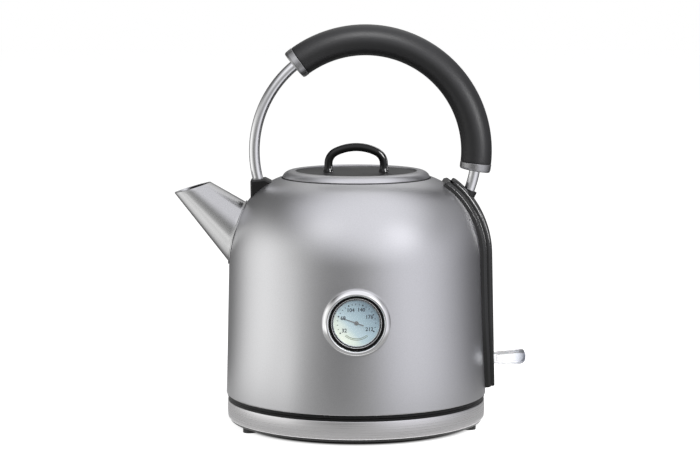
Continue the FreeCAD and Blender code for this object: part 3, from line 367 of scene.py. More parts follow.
def soft_lamp(name, azimuth, elevation, distance, size, watts, kept_to=None):
    """A square lamp turned to the pot, its distance and size in metres.

    It stays out of reflections unless it is kept to some parts. Such a lamp hangs inside the tent, because
    the cloth would hide it from reflections.
    """
    data = bpy.data.lights.new(name, "AREA")
    data.size = size
    data.energy = watts
    lamp = bpy.data.objects.new(name, data)
    lamp.location = LAMP_AIM + distance * towards(azimuth, elevation)
    lamp.rotation_euler = (math.radians(90 - elevation), 0, math.radians(azimuth))
    lamp.visible_camera = False
    lamp.visible_glossy = kept_to is not None
    lamp.light_linking.receiver_collection = kept_to
    scene.collection.objects.link(lamp)


soft_lamp("key_lamp", 40, 50, 1.6, 1.0, 26.0)
soft_lamp("side_lamp", -70, 30, 1.6, 0.9, 6.0)
soft_lamp("glint_lamp", 42, 30, 0.46, 0.16, 2.4, black_parts)
soft_lamp("edge_lamp", 98, 14, 0.46, 0.16, 1.2, black_parts)
soft_lamp("shoulder_lamp", 140, 42, 0.46, 0.2, 0.8, black_parts)
soft_lamp("grip_lamp", 4, 55, 0.5, 0.2, 0.7, grip_alone)
soft_lamp("grip_side_lamp", 52, 18, 0.5, 0.16, 0.55, grip_alone)

# %% World
ROOM_GLOW = 0.22


def looked_at(tree):
    """1 for a ray from the camera, off a mirror or through glass, and 0 for light on matt surfaces."""
    path = add_node(tree, "LightPath")
    factor = path.outputs["Is Camera Ray"]
    for kind in ("Glossy", "Transmission"):
        rays = {0: factor, 1: path.outputs["Is " + kind + " Ray"]}
        factor = add_node(tree, "Math", rays, operation="MAXIMUM").outputs[0]
    return factor


world = bpy.data.worlds.new("white_room")
scene.world = world
world.use_nodes = True
tree = world.node_tree
tree.nodes.clear()
room, seen = (add_node(tree, "Background", {"Color": (1, 1, 1, 1), "Strength": strength}).outputs[0]
              for strength in (ROOM_GLOW, 1.0))
mix = add_node(tree, "MixShader", {0: looked_at(tree), 1: room, 2: seen})
add_node(tree, "OutputWorld", {"Surface": mix.outputs[0]})
print("world of", len(tree.nodes), "nodes")

# %% Floor
# Inside the first radius the floor has no glow, and past the second it has its full glow: a painted contact
# shadow close under the base.
FLOOR_HALF, PAINTED_SHADOW_INNER, PAINTED_SHADOW_OUTER = 6.0, 0.077, 0.084
FLOOR_GREY, FLOOR_GLOW = shade(0.62), 0.86
pale_floor, tree = bare_material("pale_floor")
matt = add_node(tree, "BsdfDiffuse", {"Color": (*FLOOR_GREY, 1)})
place = own_place(tree)
from_axis = vector_math(tree, "DOT_PRODUCT", place, place)
# Painted shadow: the floor's glow is taken away close under the base.
glow_past_painted_shadow = eased(tree, from_axis, PAINTED_SHADOW_INNER ** 2, PAINTED_SHADOW_OUTER ** 2, FLOOR_GLOW)
strength = add_node(tree, "Math", {0: looked_at(tree), 1: glow_past_painted_shadow}, operation="MULTIPLY")
light = add_node(tree, "Emission", {"Strength": strength.outputs[0]})
both = add_node(tree, "AddShader", {0: matt.outputs[0], 1: light.outputs[0]})
add_node(tree, "OutputMaterial", {"Surface": both.outputs[0]})
side = np.array([-FLOOR_HALF, FLOOR_HALF])
stage_mesh("floor", np.stack(np.broadcast_arrays(side[None, :], side[:, None], 0.0), -1), pale_floor)
scene.view_settings.view_transform = "Standard"
print("floor", 2 * FLOOR_HALF, "m wide")

# %% [markdown]
# ## Finishes
# One finish per material of the real pot. Colour and gloss that are the same all over sit on the shader
# itself. What varies follows the piece's own coordinates: grain and brushing come from noise, and the
# painted shade at the lever's tip and the painted reflection on the dial run along one direction. A finish
# made of one flat colour would look like a toy, so even plain black plastic gets a fine grain.

# %% Finish tools
GRAIN_LOW, GRAIN_HIGH = 0.3, 0.7
finishes = {}


def new_finish(name, **settings):
    """A Principled material, kept by its name; a setting such as base_color or ior names a socket."""
    material = bpy.data.materials.new(name)
    material.use_nodes = True
    shader = material.node_tree.nodes["Principled BSDF"]
    sockets = {socket.name.lower().replace(" ", "_"): socket for socket in shader.inputs}
    for key, value in settings.items():
        sockets[key].default_value = (*value, 1) if key.endswith("color") else value
    finishes[name] = material
    return material


def join(material, output, socket):
    """Let an output set a socket of the material's shader."""
    tree = material.node_tree
    tree.links.new(output, tree.nodes["Principled BSDF"].inputs[socket])


def grain(material, scale, stretch, detail):
    """Noise in metres on the piece's own coordinates, stretched by a Mapping node; returns its factor."""
    tree = material.node_tree
    mapping = add_node(tree, "Mapping", {"Vector": own_place(tree), "Scale": stretch})
    noise = {"Vector": mapping.outputs[0], "Scale": scale, "Detail": detail}
    return add_node(tree, "TexNoise", noise).outputs[0]


def along(material, direction, start, end):
    """Factor from 0 to 1 as the point's place, in metres, times a direction goes from start to end."""
    tree = material.node_tree
    reach = vector_math(tree, "DOT_PRODUCT", own_place(tree), direction)
    return add_node(tree, "MapRange", {"Value": reach, "From Min": start, "From Max": end}).outputs[0]


def vary_colour(material, factor, stops):
    """Base colour along a factor, as (place, colour) stops."""
    join(material, colour_ramp(material.node_tree, factor, stops), "Base Color")


# %% Grained finishes
def grained(name, scale, gloss, tones=None, relief=None, stretch=(1, 1, 1), detail=3.0, **settings):
    """A finish with one grain, which its roughness and, where given, its tone and relief follow.

    gloss is the lowest and highest roughness, tones are two colours, relief is a height in mm and a strength.
    """
    material = new_finish(name, **settings)
    tree = material.node_tree
    factor = grain(material, scale, stretch, detail)
    ends = {"Value": factor, "From Min": GRAIN_LOW, "From Max": GRAIN_HIGH,
            "To Min": gloss[0], "To Max": gloss[1]}
    join(material, add_node(tree, "MapRange", ends).outputs[0], "Roughness")
    if tones:
        vary_colour(material, factor, list(zip((GRAIN_LOW, GRAIN_HIGH), tones)))
    if relief:
        bump = {"Height": factor, "Distance": relief[0] * MM, "Strength": relief[1]}
        join(material, add_node(tree, "Bump", bump).outputs[0], "Normal")
    return material


def metal(name, scale, gloss, tones=None, **more):
    """A grained finish that reflects as bare metal."""
    return grained(name, scale, gloss, tones, metallic=1.0, **more)


# %% Metals
satin_steel = metal("satin_steel", 1500, (0.33, 0.39),
                    (shade(0.595, (1, 1, 1.01)), shade(0.645, (1, 1, 1.015))), relief=(0.01, 0.2), detail=2)
spout_steel = metal("spout_steel", 1500, (0.22, 0.28), (shade(0.49), shade(0.54)), detail=2)
dark_steel = metal("dark_steel", 900, (0.34, 0.42), (shade(0.07), shade(0.10)), detail=2, anisotropic=0.7)
band_steel = metal("band_steel", 1.0, (0.24, 0.36), ((0.75, 0.74, 0.745), (0.86, 0.85, 0.855)),
                   relief=(0.01, 0.3), stretch=(14, 14, 2600), detail=4)
bright_steel = metal("bright_steel", 700, (0.13, 0.19), base_color=shade(0.76))
ferrule_steel = metal("ferrule_steel", 900, (0.24, 0.34), (shade(0.36), shade(0.44)))
chrome = metal("chrome", 400, (0.05, 0.08), base_color=shade(0.80))
metal("plain_steel", 120, (0.28, 0.42), (shade(0.48), shade(0.56)), stretch=(1, 1, 4))
metal("spreader_metal", 260, (0.36, 0.5), (shade(0.56), shade(0.64)))
metal("contact_brass", 300, (0.2, 0.32), ((0.68, 0.47, 0.20), (0.76, 0.55, 0.27)))
print("metals", list(finishes))

# %% Plastics, rubber and paint
soft_black = grained("soft_black", 1400, (0.36, 0.44), relief=(0.05, 0.5), detail=2,
                     base_color=shade(0.007, (1, 1, 1.04)), specular_ior_level=0.55)
gloss_black = grained("gloss_black", 350, (0.07, 0.11), base_color=shade(0.003), specular_ior_level=0.35)
panel_black = grained("panel_black", 1100, (0.20, 0.26), relief=(0.004, 0.1), base_color=shade(0.006))
grained("black_plastic", 1300, (0.30, 0.42), relief=(0.01, 0.25), base_color=shade(0.006),
        specular_ior_level=0.3)
seal_rubber = grained("seal_rubber", 800, (0.55, 0.7), base_color=shade(0.022))
grained("filter_plastic", 700, (0.4, 0.5), base_color=(0.60, 0.60, 0.58))
grained("needle_paint", 900, (0.35, 0.5), base_color=shade(0.09))
grained("wire_jacket", 900, (0.4, 0.55), base_color=(0.30, 0.045, 0.035))
print("finishes", len(finishes))

# %% Clear mouldings and glass
# Painted shade: the clear lever darkens to blue-grey over this many millimetres before its tip, for the
# darkening that its shape shows.
LEVER_TIP_SHADE = 9.0
clear_lever = grained("clear_lever", 500, (0.10, 0.16), transmission_weight=0.85, ior=1.49)
lever_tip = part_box("switch_lever")[1][0]
vary_colour(clear_lever, along(clear_lever, (1, 0, 0), lever_tip - LEVER_TIP_SHADE * MM, lever_tip),
            [(0.0, (0.93, 0.935, 0.95)), (0.45, (0.72, 0.74, 0.80)), (1.0, (0.12, 0.13, 0.17))])
grained("clear_window", 500, (0.08, 0.14), base_color=(0.55, 0.58, 0.60), transmission_weight=0.8, ior=1.49)
grained("lamp_glass", 400, (0.1, 0.2), base_color=(0.85, 0.42, 0.18), transmission_weight=0.6, ior=1.45)
lens_glass = new_finish("lens_glass", base_color=(0.97, 0.985, 1.0), transmission_weight=1.0, ior=1.12,
                        roughness=0.0)
print("finishes", len(finishes))

# %% [markdown]
# ## The domed body
# The body is one drawn sheet: a wall with a slight taper, a round shoulder, a tighter crown, and a rim that
# turns down into the lid's ledge and neck. A lathe profile gives it, and a Solidify modifier gives the
# sheet its thickness, so that the spout, the dial, the window and the lever can have true holes. A hole is
# made by sliding the nearest grid points onto its edge and leaving out the faces inside.

# %% Profile of the wall
SHOULDER, SHOULDER_INSET, SHOULDER_RISE = 60.0, 62.3, 94.7
CROWN, CROWN_START = 46.0, math.radians(42.6)
LEDGE_DEPTH, NECK_WIDTH = 3.2, 4.7
shoulder_r, shoulder_z = foot_radius - SHOULDER_INSET, foot_z + SHOULDER_RISE
crown_r = shoulder_r + (SHOULDER - CROWN) * math.cos(CROWN_START)
crown_z = shoulder_z + (SHOULDER - CROWN) * math.sin(CROWN_START)
taper = (math.acos(SHOULDER / math.hypot(SHOULDER_INSET, SHOULDER_RISE))
         - math.atan2(SHOULDER_RISE, SHOULDER_INSET))
ledge_z = seam_z - LEDGE_DEPTH
neck_radius = mouth_radius - NECK_WIDTH


def wall_radius(z, out=0.0):
    """Radius of the body at a height, moved out of the wall: a straight taper, then two smooth arcs."""
    straight = foot_radius - (z - foot_z) * math.tan(taper) + out / math.cos(taper)
    shoulder = shoulder_r + np.sqrt(np.maximum((SHOULDER + out) ** 2 - (z - shoulder_z) ** 2, 0))
    crown = crown_r + np.sqrt(np.maximum((CROWN + out) ** 2 - (z - crown_z) ** 2, 0))
    on_crown = z > shoulder_z + (SHOULDER + out) * math.sin(CROWN_START)
    on_shoulder = z > shoulder_z + (SHOULDER + out) * math.sin(taper)
    return np.where(on_crown, crown, np.where(on_shoulder, shoulder, straight))


def arc_points(r, z, radius, turns):
    """Points of a circle: its centre plus the radius times (cos, sin) of each turn."""
    return np.stack([r + radius * np.cos(turns), z + radius * np.sin(turns)], -1)


# %% Profile points
HEM = 0.5
hem = arc_points(foot_radius - HEM, foot_z + HEM, HEM, np.linspace(-math.pi / 2, 0, 5))
side_z = np.linspace(foot_z + 2 * HEM, shoulder_z + SHOULDER * math.sin(taper), 46)
wall_side = np.stack([wall_radius(side_z), side_z], -1)[:-1]
wall_shoulder = arc_points(shoulder_r, shoulder_z, SHOULDER, np.linspace(taper, CROWN_START, 24))[:-1]
crown_end = math.acos((mouth_radius + 2 * SHEET - crown_r) / CROWN)
wall_crown = arc_points(crown_r, crown_z, CROWN, np.linspace(CROWN_START, crown_end, 20))
mouth = rounded([(*wall_crown[-1], 0), (mouth_radius, seam_z, 0.9), (mouth_radius, ledge_z, 0.6),
                 (neck_radius, ledge_z, 0.9), (neck_radius, rim_low[2], 0)], closed=False)[1:]
body_profile = np.concatenate([hem, wall_side, wall_shoulder, wall_crown, mouth])
print("profile points", len(body_profile), "taper", round(math.degrees(taper), 2), "degrees")


# %% Surface with holes
def punched(surface, rows, columns, gap):
    """Points and faces of surface(row, column) with a hole where gap(points) is negative.

    Each grid edge that crosses the hole's edge pulls its nearer end onto the crossing; a quad that then lies
    astride keeps the half outside.
    """
    place = np.stack(np.meshgrid(rows, columns, indexing="ij"), -1).astype(float)
    value = gap(surface(place[..., 0], place[..., 1]))
    cell = np.array([rows[1] - rows[0], columns[1] - columns[0]])
    nearest = np.full(value.shape, 0.5)
    shift = np.zeros_like(place)
    for axis in (0, 1):
        for step in (1, -1):
            beside = np.roll(value, -step, axis)
            share = value / np.where(value == beside, 1, value - beside)
            found = (value * beside < 0) & (share <= nearest)
            nearest = np.where(found, share, nearest)
            shift[found] = 0
            shift[..., axis][found] = step * share[found]
    moved = np.abs(shift).sum(-1) > 0
    place = place + shift * cell
    value = np.where(moved, 0, value).ravel()
    quads = grid_faces(len(rows), len(columns))
    corner = value[quads]
    whole = (corner >= 0).all(1) & (corner > 0).any(1)
    faces = quads[whole].tolist()
    astride = (corner < 0).any(1)
    for k in range(4):
        chosen = quads[astride & (corner[:, k] > 0)]
        faces += chosen[:, [k - 1, k, (k + 1) % 4]].tolist()
    return surface(place[..., 0], place[..., 1]), faces


# %% Places of the openings
SPOUT_RISE, SPOUT_ROOT_TURN = math.radians(40.9), math.radians(19.31)
SPOUT_ROOT_RADIUS, SPOUT_MOUTH_RADIUS, SPOUT_LENGTH = 18.5, 10.7, 39.6
spout_slope = (SPOUT_ROOT_RADIUS - SPOUT_MOUTH_RADIUS) / SPOUT_LENGTH
spout_axis = np.array([-math.cos(SPOUT_RISE), 0, math.sin(SPOUT_RISE)])
spout_up = np.array([math.sin(SPOUT_RISE), 0, math.cos(SPOUT_RISE)])
root_r, root_z = arc_points(shoulder_r, shoulder_z, SHOULDER, SPOUT_ROOT_TURN)
spout_root = np.array([-root_r, 0, root_z])
dial_low, dial_high = span("gauge_can")
dial_z = (dial_low[2] + dial_high[2]) / 2
CAN_RADIUS = 15.5
window_low, window_high = span("water_window")
WINDOW_HALF, WINDOW_FLANGE = 3.2, 1.6
# Half width, bottom and top, with room for the pressed lever.
LEVER_SLOT = (5.1, 36.8, 47.5)
print("dial", round(dial_z, 1), "mm up, root of the spout", np.round(spout_root, 1))


# %% Shapes of the openings
def slot_gap(points, half, low, high):
    """Distance from an upright round-ended slot on the +X side; far away on the other side."""
    middle = np.clip(points[..., 2], low + half, high - half)
    gap = np.hypot(points[..., 1], points[..., 2] - middle) - half
    return np.where(points[..., 0] > 0, gap, foot_radius)


def box_gap(points, half, low, high):
    """Distance from an upright square-ended slot on the +X side; far away on the other side."""
    past_end = np.abs(points[..., 2] - (low + high) / 2) - (high - low) / 2
    gap = np.maximum(np.abs(points[..., 1]) - half, past_end)
    return np.where(points[..., 0] > 0, gap, foot_radius)


def spout_gap(points, inset):
    """Distance outside the spout's cone drawn in by inset; far away on the +X side."""
    from_root = points - spout_root
    reach = from_root @ spout_axis
    across = np.linalg.norm(from_root - reach[..., None] * spout_axis, axis=-1)
    gap = across - (SPOUT_ROOT_RADIUS - spout_slope * reach - inset)
    return np.where(points[..., 0] < 0, gap, foot_radius)


def dial_gap(points):
    """Distance outside the round hole of the dial's can; far away at the back."""
    gap = np.hypot(points[..., 0], points[..., 2] - dial_z) - CAN_RADIUS - HAIR
    return np.where(points[..., 1] < 0, gap, foot_radius)


def body_gap(points):
    """Distance from the nearest opening of the body, negative inside one."""
    inset = WINDOW_FLANGE / 2
    window = slot_gap(points, WINDOW_HALF - inset, window_low[2] + 3 * inset, window_high[2] - 3 * inset)
    lever = box_gap(points, *LEVER_SLOT)
    return np.minimum.reduce([window, lever, spout_gap(points, SHEET), dial_gap(points)])


# %% Body mesh
BODY_COLUMNS = 224


def turned_sheet(profile, columns, start, gap):
    """Points and faces of a profile turned about the upright axis, punched with the holes of a gap."""
    numbers = np.arange(len(profile))

    def surface(row, angle):
        r, z = (np.interp(row, numbers, profile[:, k]) for k in (0, 1))
        return np.stack([r * np.cos(angle), r * np.sin(angle), z], -1)

    return punched(surface, numbers, np.linspace(start, start + 2 * math.pi, columns + 1), gap)


points, faces = turned_sheet(body_profile, BODY_COLUMNS, math.pi / 2, body_gap)
body = add_piece("body", points, "kettle", satin_steel, ("body_shell", "neck_ring"), faces)
thicken(body, SHEET, even=True)

# %% [markdown]
# ## The spout
# A short cone welded to the dome and cut off by a sloping mouth, with a raised bead where it meets the
# body. Its surface runs from the body to the mouth along each angle, so both ends are found exactly: the
# mouth by where a straight line meets a plane, and the root by halving a bracket until the point lies on
# the dome.

# %% Spout surface
MOUTH_TILT = math.radians(17.3)
ROOT_BRACKET, HALVINGS = (-28.0, 24.0), 40
mouth_normal = np.array([-math.sin(MOUTH_TILT), 0, math.cos(MOUTH_TILT)])
q = np.linspace(-math.pi, math.pi, 97)


def on_spout(reach, grow):
    """Point at a distance along the spout's axis and angle q, on its cone grown by some millimetres."""
    radius = (SPOUT_ROOT_RADIUS - spout_slope * reach + grow)[..., None]
    ring = np.cos(q)[:, None] * spout_up + np.sin(q)[:, None] * np.array([0, 1.0, 0])
    return spout_root + reach[..., None] * spout_axis + radius * ring


def meet_dome(grow, out):
    """Distance along the axis where the grown cone lies a height out over the dome, by halving."""
    low, high = (np.full(q.shape, end) for end in ROOT_BRACKET)
    for _ in range(HALVINGS):
        middle = (low + high) / 2
        at = on_spout(middle, grow)
        inside = np.hypot(at[..., 0], at[..., 1]) < wall_radius(at[..., 2], out)
        low, high = np.where(inside, middle, low), np.where(inside, high, middle)
    return middle


def meet_mouth(grow):
    """Distance along the axis at which each line of the grown cone meets the plane of the mouth."""
    facing, tilt = mouth_normal @ spout_axis, np.cos(q) * (mouth_normal @ spout_up)
    return (SPOUT_LENGTH * facing - (SPOUT_ROOT_RADIUS + grow) * tilt) / (facing - spout_slope * tilt)


# %% Spout mesh
# Section of the bead: growth of the cone and height over the dome.
BEAD = [(0.7, 0.0), (0.75, 0.25), (1.25, 0.35), (1.3, 0.6), (1.1, 0.85), (0.75, 0.9), (0.4, 0.8), (0.15, 0.6),
        (0.0, 0.9)]
rows = [on_spout(meet_dome(grow, out), grow) for grow, out in BEAD]
start, end = meet_dome(0.0, BEAD[-1][1]), meet_mouth(0.0) - SHEET / 2
rows += [on_spout(start + (end - start) * s, 0.0) for s in np.linspace(0, 1, 20)[1:]]
for turn in np.linspace(0, math.pi, 9)[1:]:
    grow = SHEET / 2 * (math.cos(turn) - 1)
    rows.append(on_spout(end + SHEET / 2 * math.sin(turn), grow))
inner_end = meet_dome(-SHEET, 0.0)
rows += [on_spout(end + (inner_end - end) * s, -SHEET) for s in np.linspace(0, 1, 14)[1:]]
rows.append(rows[0])
add_piece("spout_cone", np.array(rows), "kettle", spout_steel, ("spout",))

# %% [markdown]
# ## The lid
# A pressed steel cap that drops into the mouth, with a dark disc let into it and an arched knob screwed
# through both. A thin dark ring under the cap's edge is painted shade: it stands in for the shaded seam round
# the lid. These are turned outlines. The knob is a round bar carried along three arcs, wider at its feet.

# %% Cap and disc
LID_SEAM, SEAM_RISE, SHADE_RING_DEPTH, SHADE_RING_RISE = 0.3, 0.55, 0.9, 0.25
DISC_GAP, LID_RIM, LID_BULGE = 0.3, 3.2, 0.9
cap_low, cap_high = span("lid_cap")
disc_low, disc_high = span("lid_disc")
cap_edge, cap_top, cap_foot = cap_high[0] - LID_SEAM, cap_high[2], cap_low[2]
inner_edge = cap_edge - 2 * LID_SEAM
disc_radius, disc_top = disc_high[0], disc_high[2]
pan_z = disc_low[2]
step_radius = disc_radius + DISC_GAP
flat_radius = step_radius + LID_RIM
crest_middle = ((cap_edge + flat_radius) / 2 + LID_BULGE, (seam_z + cap_top) / 2 + LID_BULGE)
crest = arc((cap_edge, seam_z + SEAM_RISE), crest_middle, (flat_radius, cap_top), 16)
inside = rounded([(flat_radius, cap_top, 0), (step_radius, cap_top, 0.5), (step_radius, pan_z, 0.25),
                  (0, pan_z, 0)], closed=False)[1:]
under = rounded([(0, pan_z - SHEET, 0), (step_radius + SHEET, pan_z - SHEET, 0.2),
                 (step_radius + SHEET, cap_top - SHEET, 0.3), (flat_radius, cap_top - SHEET, 1.0),
                 (inner_edge - SHEET, seam_z - SHEET, 1.0), (inner_edge - SHEET, cap_foot, 0)], closed=False)
edge = np.array([(inner_edge, cap_foot), (inner_edge, seam_z + HAIR), (cap_edge - HAIR, seam_z + 2 * HAIR)])
cap_outline = np.concatenate([edge, crest, inside, under, edge[:1]])
add_piece("lid_ring", turned(cap_outline), "lid", satin_steel, ("lid_cap",))
# Painted shade: a thin dark ring under the cap's edge, for the shaded seam round the lid.
shade_ring = rounded([(inner_edge, seam_z - SHADE_RING_DEPTH, 0), (cap_edge, seam_z - SHADE_RING_DEPTH, 0.1),
               (cap_edge, seam_z + SHADE_RING_RISE, 0.1), (inner_edge, seam_z + SHADE_RING_RISE, 0)])
add_piece("lid_lip", turned(shade_ring), "lid", seal_rubber)
disc_outline = rounded([(0, pan_z, 0), (disc_radius, pan_z, 0.1), (disc_radius, disc_top, 0.25),
                        (0, disc_top, 0)])
add_piece("lid_inlay", turned(disc_outline), "lid", dark_steel, ("lid_disc",))

# %% Knob
knob_high = span("lid_knob")[1]
KNOB_BAR, KNOB_FOOT, KNOB_LEG, KNOB_CORNER = 2.8, 3.6, 5.6, 9.0
knob_half = knob_high[0] - KNOB_FOOT
spring_z = disc_top + KNOB_LEG
rise, reach = knob_high[2] - KNOB_BAR - spring_z, knob_half - KNOB_CORNER
knob_crown = (reach ** 2 + rise ** 2 - KNOB_CORNER ** 2) / (2 * (rise - KNOB_CORNER))
lean = math.atan2(reach, knob_crown - rise)


def bend(x, z, radius, start, end, count):
    """Centres and headings along an arc walked clockwise."""
    turns = np.linspace(start, end, count)
    return arc_points(x, z, radius, turns), np.stack([np.sin(turns), -np.cos(turns)], -1)


# Heights of the rows of a leg, closer together where it flares into its foot.
leg_z = np.array([0.0, 0.0, 0.25, 0.6, 1.1, 1.8, 2.7, 3.6, 4.8, KNOB_LEG])
leg_bar = np.interp(leg_z, [0, 0.6, 1.8, 3.6], [KNOB_FOOT, KNOB_FOOT - 0.1, KNOB_BAR + 0.2, KNOB_BAR])
leg_bar[0] = 0
leg_bar[1] = KNOB_FOOT - 0.2
left = np.stack([np.full(len(leg_z), -knob_half), disc_top + leg_z], -1)
up = np.tile([0.0, 1.0], (len(leg_z), 1))
bends = [bend(-reach, spring_z, KNOB_CORNER, math.pi, math.pi / 2 + lean, 14),
         bend(0, spring_z + rise - knob_crown, knob_crown, math.pi / 2 + lean, math.pi / 2 - lean, 24),
         bend(reach, spring_z, KNOB_CORNER, math.pi / 2 - lean, 0, 14)]
path = np.concatenate([left] + [centres for centres, headings in bends] + [left[::-1] * [-1, 1]])
heading = np.concatenate([up] + [headings for centres, headings in bends] + [-up])
bar = np.full(len(path), KNOB_BAR)
bar[:len(leg_z)] = leg_bar
bar[-len(leg_z):] = leg_bar[::-1]
add_piece("knob_arch", carried(path, heading, bar, 40), "lid", gloss_black, ("lid_knob",))

# %% [markdown]
# ## The handle
# A steel rod bent to one arc, with a thick soft grip over its upper part and a steel ferrule at each end of
# the grip. All four are round sections on the same arc; only the radius along it differs. Rows with a
# shrinking radius round off the ends and close them.

# %% Sections of the handle
HANDLE_X, HANDLE_RISE, HANDLE_RADIUS = 6.3, 165.6, 75.7
ROD_RADIUS, ROD_FRONT, ROD_REAR = 3.65, 197.8, -24.7
GRIP_RADIUS, GRIP_FRONT, GRIP_REAR = 10.5, 125.8, -6.0
FERRULE_RADIUS, FERRULE_LENGTH, FERRULE_DRAW = 10.7, 5.2, 0.6
ROD_EDGE, GRIP_EDGE = 0.4, 0.7
handle_z = foot_z + HANDLE_RISE


def round_handle(sections, columns):
    """Sections (angle in degrees, radius) carried along the handle's arc towards rising angles."""
    angle, radius = np.array(sections, float).T
    turns = np.radians(angle)
    centres = arc_points(HANDLE_X, handle_z, HANDLE_RADIUS, turns)
    return carried(centres, np.stack([-np.sin(turns), np.cos(turns)], -1), radius, columns)


def degrees_along(length):
    """Angle in degrees of a length along the handle's arc."""
    return math.degrees(length / HANDLE_RADIUS)


def soft_ends(start, end, radius, edge, count):
    """Sections of a bar from start to end whose two ends are rounded by an edge radius and closed."""
    bow = np.linspace(0, math.pi / 2, 6)
    ends = [(degrees_along(edge * (1 - math.sin(b))), radius - edge * (1 - math.cos(b))) for b in bow]
    head = [(start + inset, size) for inset, size in ends[::-1]]
    tail = [(end - inset, size) for inset, size in ends]
    middle = [(a, radius) for a in np.linspace(head[-1][0], tail[0][0], count)[1:-1]]
    return [(start, 0)] + head + middle + tail + [(end, 0)]


# %% Rod, grip and ferrules
rod = round_handle(soft_ends(ROD_REAR, ROD_FRONT, ROD_RADIUS, ROD_EDGE, 150), 48)
add_piece("rod", rod, "kettle", bright_steel, ("handle_rod",))
grip = round_handle(soft_ends(GRIP_REAR, GRIP_FRONT, GRIP_RADIUS, GRIP_EDGE, 120), 72)
add_piece("grip", grip, "kettle", soft_black, ("handle_grip",))
ferrule_outline = rounded([(0, 0, 0), (0, FERRULE_RADIUS, 0.3),
                           (0.7 * FERRULE_LENGTH, FERRULE_RADIUS - HAIR, 0.8),
                           (FERRULE_LENGTH, FERRULE_RADIUS - FERRULE_DRAW, 0.9), (FERRULE_LENGTH, 0, 0)],
                          closed=False)
for name, start, way in (("front", GRIP_FRONT, 1), ("rear", GRIP_REAR, -1)):
    sections = [(start + way * degrees_along(length), radius) for length, radius in ferrule_outline]
    ferrule = round_handle(sections[::way], 72)
    add_piece("ferrule_" + name, ferrule, "kettle", ferrule_steel, ("grip_ferrule_" + name,))

# %% [markdown]
# ## The back panel
# A moulded frame of two legs and a top rim follows the body from the skirt up over the dome, and a crowned
# cover strip is let into it with a thin groove between them. Both are drawn flat, as a width and a length
# along the wall, and then laid over the body: a point's width stays, and its third coordinate is a depth
# square to the wall.

# %% Panel on the wall
PANEL_HALF, PANEL_FOOT_HALF, PANEL_END = 22.6, 11.0, math.radians(59.0)
PANEL_WIDEST_RISE, PANEL_FOOT_RISE = 87.0, 4.0
PANEL_CORNER, FRAME_RIM, FRAME_DEPTH, GROOVE = 2.5, 3.4, 4.0, 0.4
COVER_DEPTH, COVER_WALL, COVER_EDGE, COVER_CORNER = 6.4, 1.6, 1.2, 1.5
panel_widest, panel_foot = foot_z + PANEL_WIDEST_RISE, foot_z + PANEL_FOOT_RISE
panel_draw = PANEL_HALF - PANEL_FOOT_HALF
side_radius = ((panel_widest - panel_foot) ** 2 + panel_draw ** 2) / (2 * panel_draw)
straight_end = (shoulder_z + SHOULDER * math.sin(taper) - foot_z) / math.cos(taper)
shoulder_end = straight_end + SHOULDER * (CROWN_START - taper)
panel_start = PANEL_FOOT_RISE / math.cos(taper)
panel_end = shoulder_end + CROWN * (PANEL_END - CROWN_START)


def up_the_wall(length, depth):
    """Radius and height at a length up the wall and a depth square to it: a line and two arcs."""
    lean = taper + np.clip(length - straight_end, 0, shoulder_end - straight_end) / SHOULDER
    lean = lean + np.maximum(length - shoulder_end, 0) / CROWN
    low = np.minimum(length, straight_end)
    on_arc, on_crown = length > straight_end, length > shoulder_end
    r = np.where(on_arc, shoulder_r + SHOULDER * np.cos(lean), foot_radius - low * math.sin(taper))
    z = np.where(on_arc, shoulder_z + SHOULDER * np.sin(lean), foot_z + low * math.cos(taper))
    r = np.where(on_crown, crown_r + CROWN * np.cos(lean), r)
    z = np.where(on_crown, crown_z + CROWN * np.sin(lean), z)
    return r + depth * np.cos(lean), z + depth * np.sin(lean)


def on_panel(y, length, depth):
    """Point at a width, a length up the wall and a depth: x squared = radius squared - width squared."""
    r, z = up_the_wall(length, depth)
    return np.stack([np.sqrt(r ** 2 - y ** 2), y + 0 * z, z + 0 * y], -1)


def panel_half(inset, length, depth):
    """Half width of the panel: one large arc each side about its widest height, drawn in by inset."""
    z = up_the_wall(length, depth)[1]
    return PANEL_HALF - side_radius + np.sqrt((side_radius - inset) ** 2 - (z - panel_widest) ** 2)


# %% Panel outline
quarter = np.linspace(0, math.pi / 2, 9)
leg = np.linspace(panel_start, panel_end - PANEL_CORNER, 90)
corner_half = panel_half(0, panel_end - PANEL_CORNER, FRAME_DEPTH)
top_corner = arc_points(corner_half - PANEL_CORNER, panel_end - PANEL_CORNER, PANEL_CORNER, quarter)
half_outline = np.concatenate([np.stack([panel_half(0, leg, FRAME_DEPTH), leg], -1)[:-1], top_corner])
outline = np.concatenate([half_outline, half_outline[::-1] * [-1, 1]])
tangent = np.gradient(outline, axis=0)
inward = np.stack([-tangent[:, 1], tangent[:, 0]], -1) / np.linalg.norm(tangent, axis=1)[:, None]
print("outline points", len(outline), "panel", round(panel_end - panel_start, 1), "mm long")

# %% Frame
FRAME_SIDE, FRAME_BEVEL = 2.4, 1.5
frame_section = rounded([(0, HAIR, 0), (0, FRAME_SIDE, 0.5), (FRAME_BEVEL, FRAME_DEPTH, 0.5),
                         (FRAME_RIM, FRAME_DEPTH, 0.4), (FRAME_RIM, HAIR, 0)], steps=5)
laid = outline[None] + frame_section[:, :1, None] * inward[None]
points = on_panel(laid[..., 0], laid[..., 1], frame_section[:, 1:])
closing = [np.broadcast_to(points[:, [k]].mean(0), points[:, [k]].shape) for k in (0, -1)]
points = np.concatenate([closing[0], points, closing[1]], 1)
add_piece("panel_frame", points, "kettle", panel_black, ("back_frame",))

